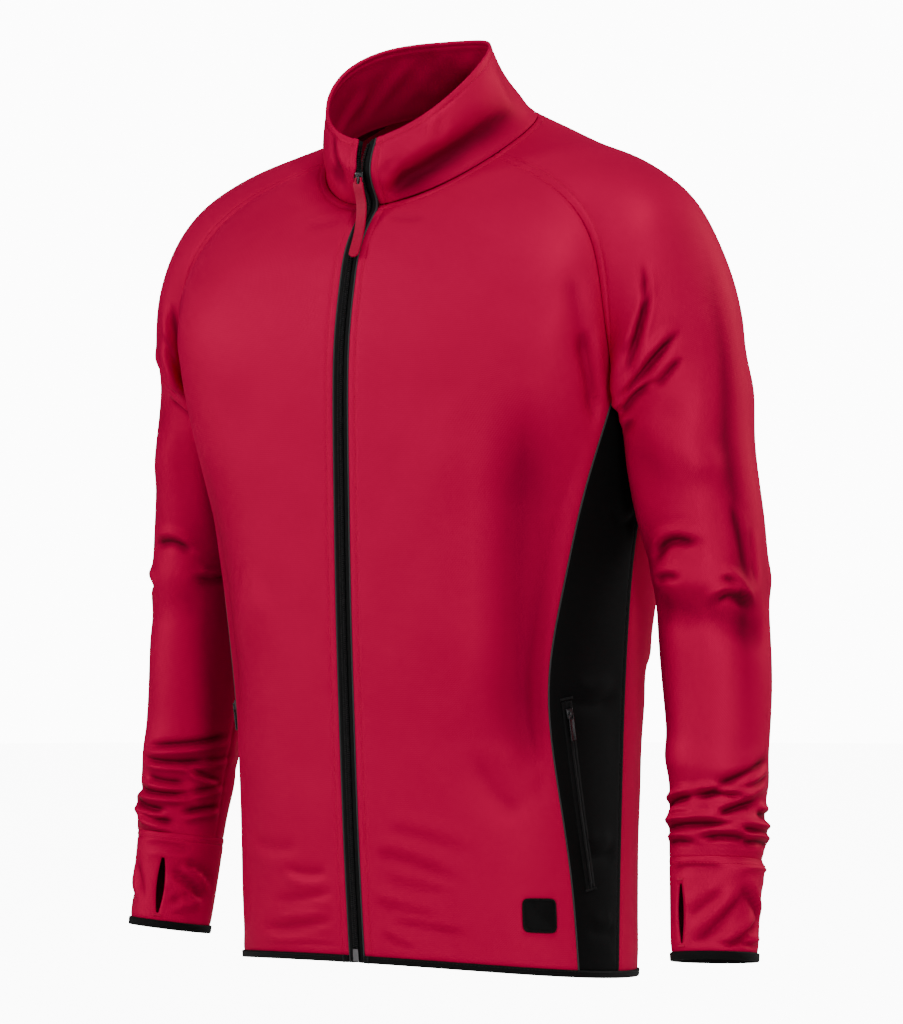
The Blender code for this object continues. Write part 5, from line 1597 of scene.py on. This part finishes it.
# the line on a piece's outer side at a distance from one of its edges, with the cloth's normals
def lineBeside(outer, edge, distance, rows=slice(None)):
    grid = outer[rows]
    normals = gridNormals(grid)
    if edge in ("top", "bottom"):
        grid, normals = grid.transpose(1, 0, 2), normals.transpose(1, 0, 2)
    if edge in ("right", "top"):
        grid, normals = grid[:, ::-1], normals[:, ::-1]
    far = arcLengths(grid, 1)
    line, out = (np.array([along(distance, *row) for row in zip(far, layer)]) for layer in (grid, normals))
    return line, unit(out)


def stitchAlong(name, stitch, lines):
    places = []
    for line, out in lines:
        far = arcLengths(line, 0)
        at = np.arange(0.002, far[-1] - 0.001, thread["pitch"])
        spot, normal = along(at, far, line), unit(along(at, far, out))
        up = unit(along(at + 0.0008, far, line) - spot)
        places.append((spot + thread["lift"] * normal, np.cross(up, normal), up, normal))
    return copiesOf(name, stitch, *[np.concatenate(part) for part in zip(*places)])


def makeStitching(patchBorder):
    stitch = makeStitch()
    near, low = cloth["stitchLine"], cloth["neckLine"]
    rows = [("front_left", "left", near), ("front_right", "right", near)]
    rows += [(name, "top", low) for name in ("front_left", "front_right", "back")]
    red = [lineBeside(pieces[name], edge, distance) for name, edge, distance in rows]
    black = []
    for side in ("left", "right"):
        top = slice(0, sleeve["joined"])
        red += [lineBeside(pieces[f"sleeve_{side}"], edge, near, top) for edge in ("left", "right")]
        red.append(lineBeside(pieces[f"sleeve_{side}"], "bottom", low))
        grid = pieces[f"cuff_{side}"]
        red.append(lineBeside(np.concatenate([grid, grid[:, :1]], 1), "bottom", cuff["line"]))
        other = "right" if side == "left" else "left"
        black.append(lineBeside(pieces[f"side_{side}"], other, cloth["sideLine"]))
        red.append(lineBeside(pieces["collar"], side, near))
    red.append(lineBeside(pieces["collar"], "top", low))
    angles = np.linspace(6, 354, 500)
    out = bodyNormal(0 * angles + 0.03, angles)
    black.append((bodySurface(0.8 * hemLevel(angles), angles) + 0.0015 * out, out))
    dress(stitchAlong("redTopstitching", stitch, red), redThread, "jacket", "red_knit")
    dress(stitchAlong("blackTopstitching", stitch, black), blackThread, "jacket", "black_knit")
    makeTacks(stitch, patchBorder)
    retire(stitch)


# bar tacks: close thread across the hem beside the zip, and across the ends of each thumb hole and pocket
def makeTacks(stitch, patchBorder):
    groups = {"red": [], "black": [], "patch": []}

    def tack(colour, side, *frame, length):
        middle, along, across, out = (toSide(side, v) for v in frame)
        for n, step in enumerate(np.arange(-length / 2, length / 2, thread["tackPitch"])):
            lean = unit(across + along * (thread["lean"] if n % 2 else -thread["lean"]))
            groups[colour].append((middle + step * along, np.cross(lean, out), lean, out))

    for offset in (-0.0125, 0.0125):
        level = np.array(0.045)
        spot, out = zipSurface(level, offset), zipNormal(level, offset)
        up = unit(zipSurface(level + 0.1, offset) - spot)
        tack("black", "left", spot + 0.0016 * out, up, np.array([1.0, 0.0, 0.0]), out, length=0.0062)
    # the overlocked edge of the patch
    near, far, out = (np.concatenate([ring, ring[:1]]) for ring in patchBorder)
    length = arcLengths((near + far) / 2, 0)
    for at in np.arange(0, length[-1], 0.001):
        a, b, n = (along(at, length, ring) for ring in (near, far, out))
        across = unit(b - a)
        groups["patch"].append(((a + b) / 2 + 0.0015 * n, np.cross(across, n), across, n))
    for side in ("left", "right"):
        for level in (cuff["holeTop"] - 0.03, cuff["holeFoot"] + 0.03):
            turns = np.radians(cuff["thumbTurn"] + np.array([-1.0, 0.0, 1.0]))
            ring = armRing(np.full(3, level), turns)
            down = unit(armRing(np.full(3, level + 0.1), turns) - ring)[1]
            around = unit(ring[2] - ring[0])
            out = unit(np.cross(down, around))
            opposite = armRing(np.array(level), np.array(np.radians(cuff["thumbTurn"] + 180)))
            out = out if out @ (ring[1] - opposite) > 0 else -out
            tack("red", side, ring[1] + 0.0003 * out, around, down, out, length=0.007)
        for level in (pocket["top"][0] + 0.03, pocket["foot"][0] - 0.01):
            foot, across, up, out = pocketAxes(np.array(level))
            tack("black", side, foot + 0.001 * out, across, up, out, length=0.012)
    for colour, places in groups.items():
        piece = copiesOf(f"{colour}BarTacks", stitch, *[np.array(part) for part in zip(*places)])
        red = colour == "red"
        dress(piece, redThread if red else blackThread, "jacket", "red_knit" if red else "black_knit")


makeStitching(patchBorder)
print("stitched")
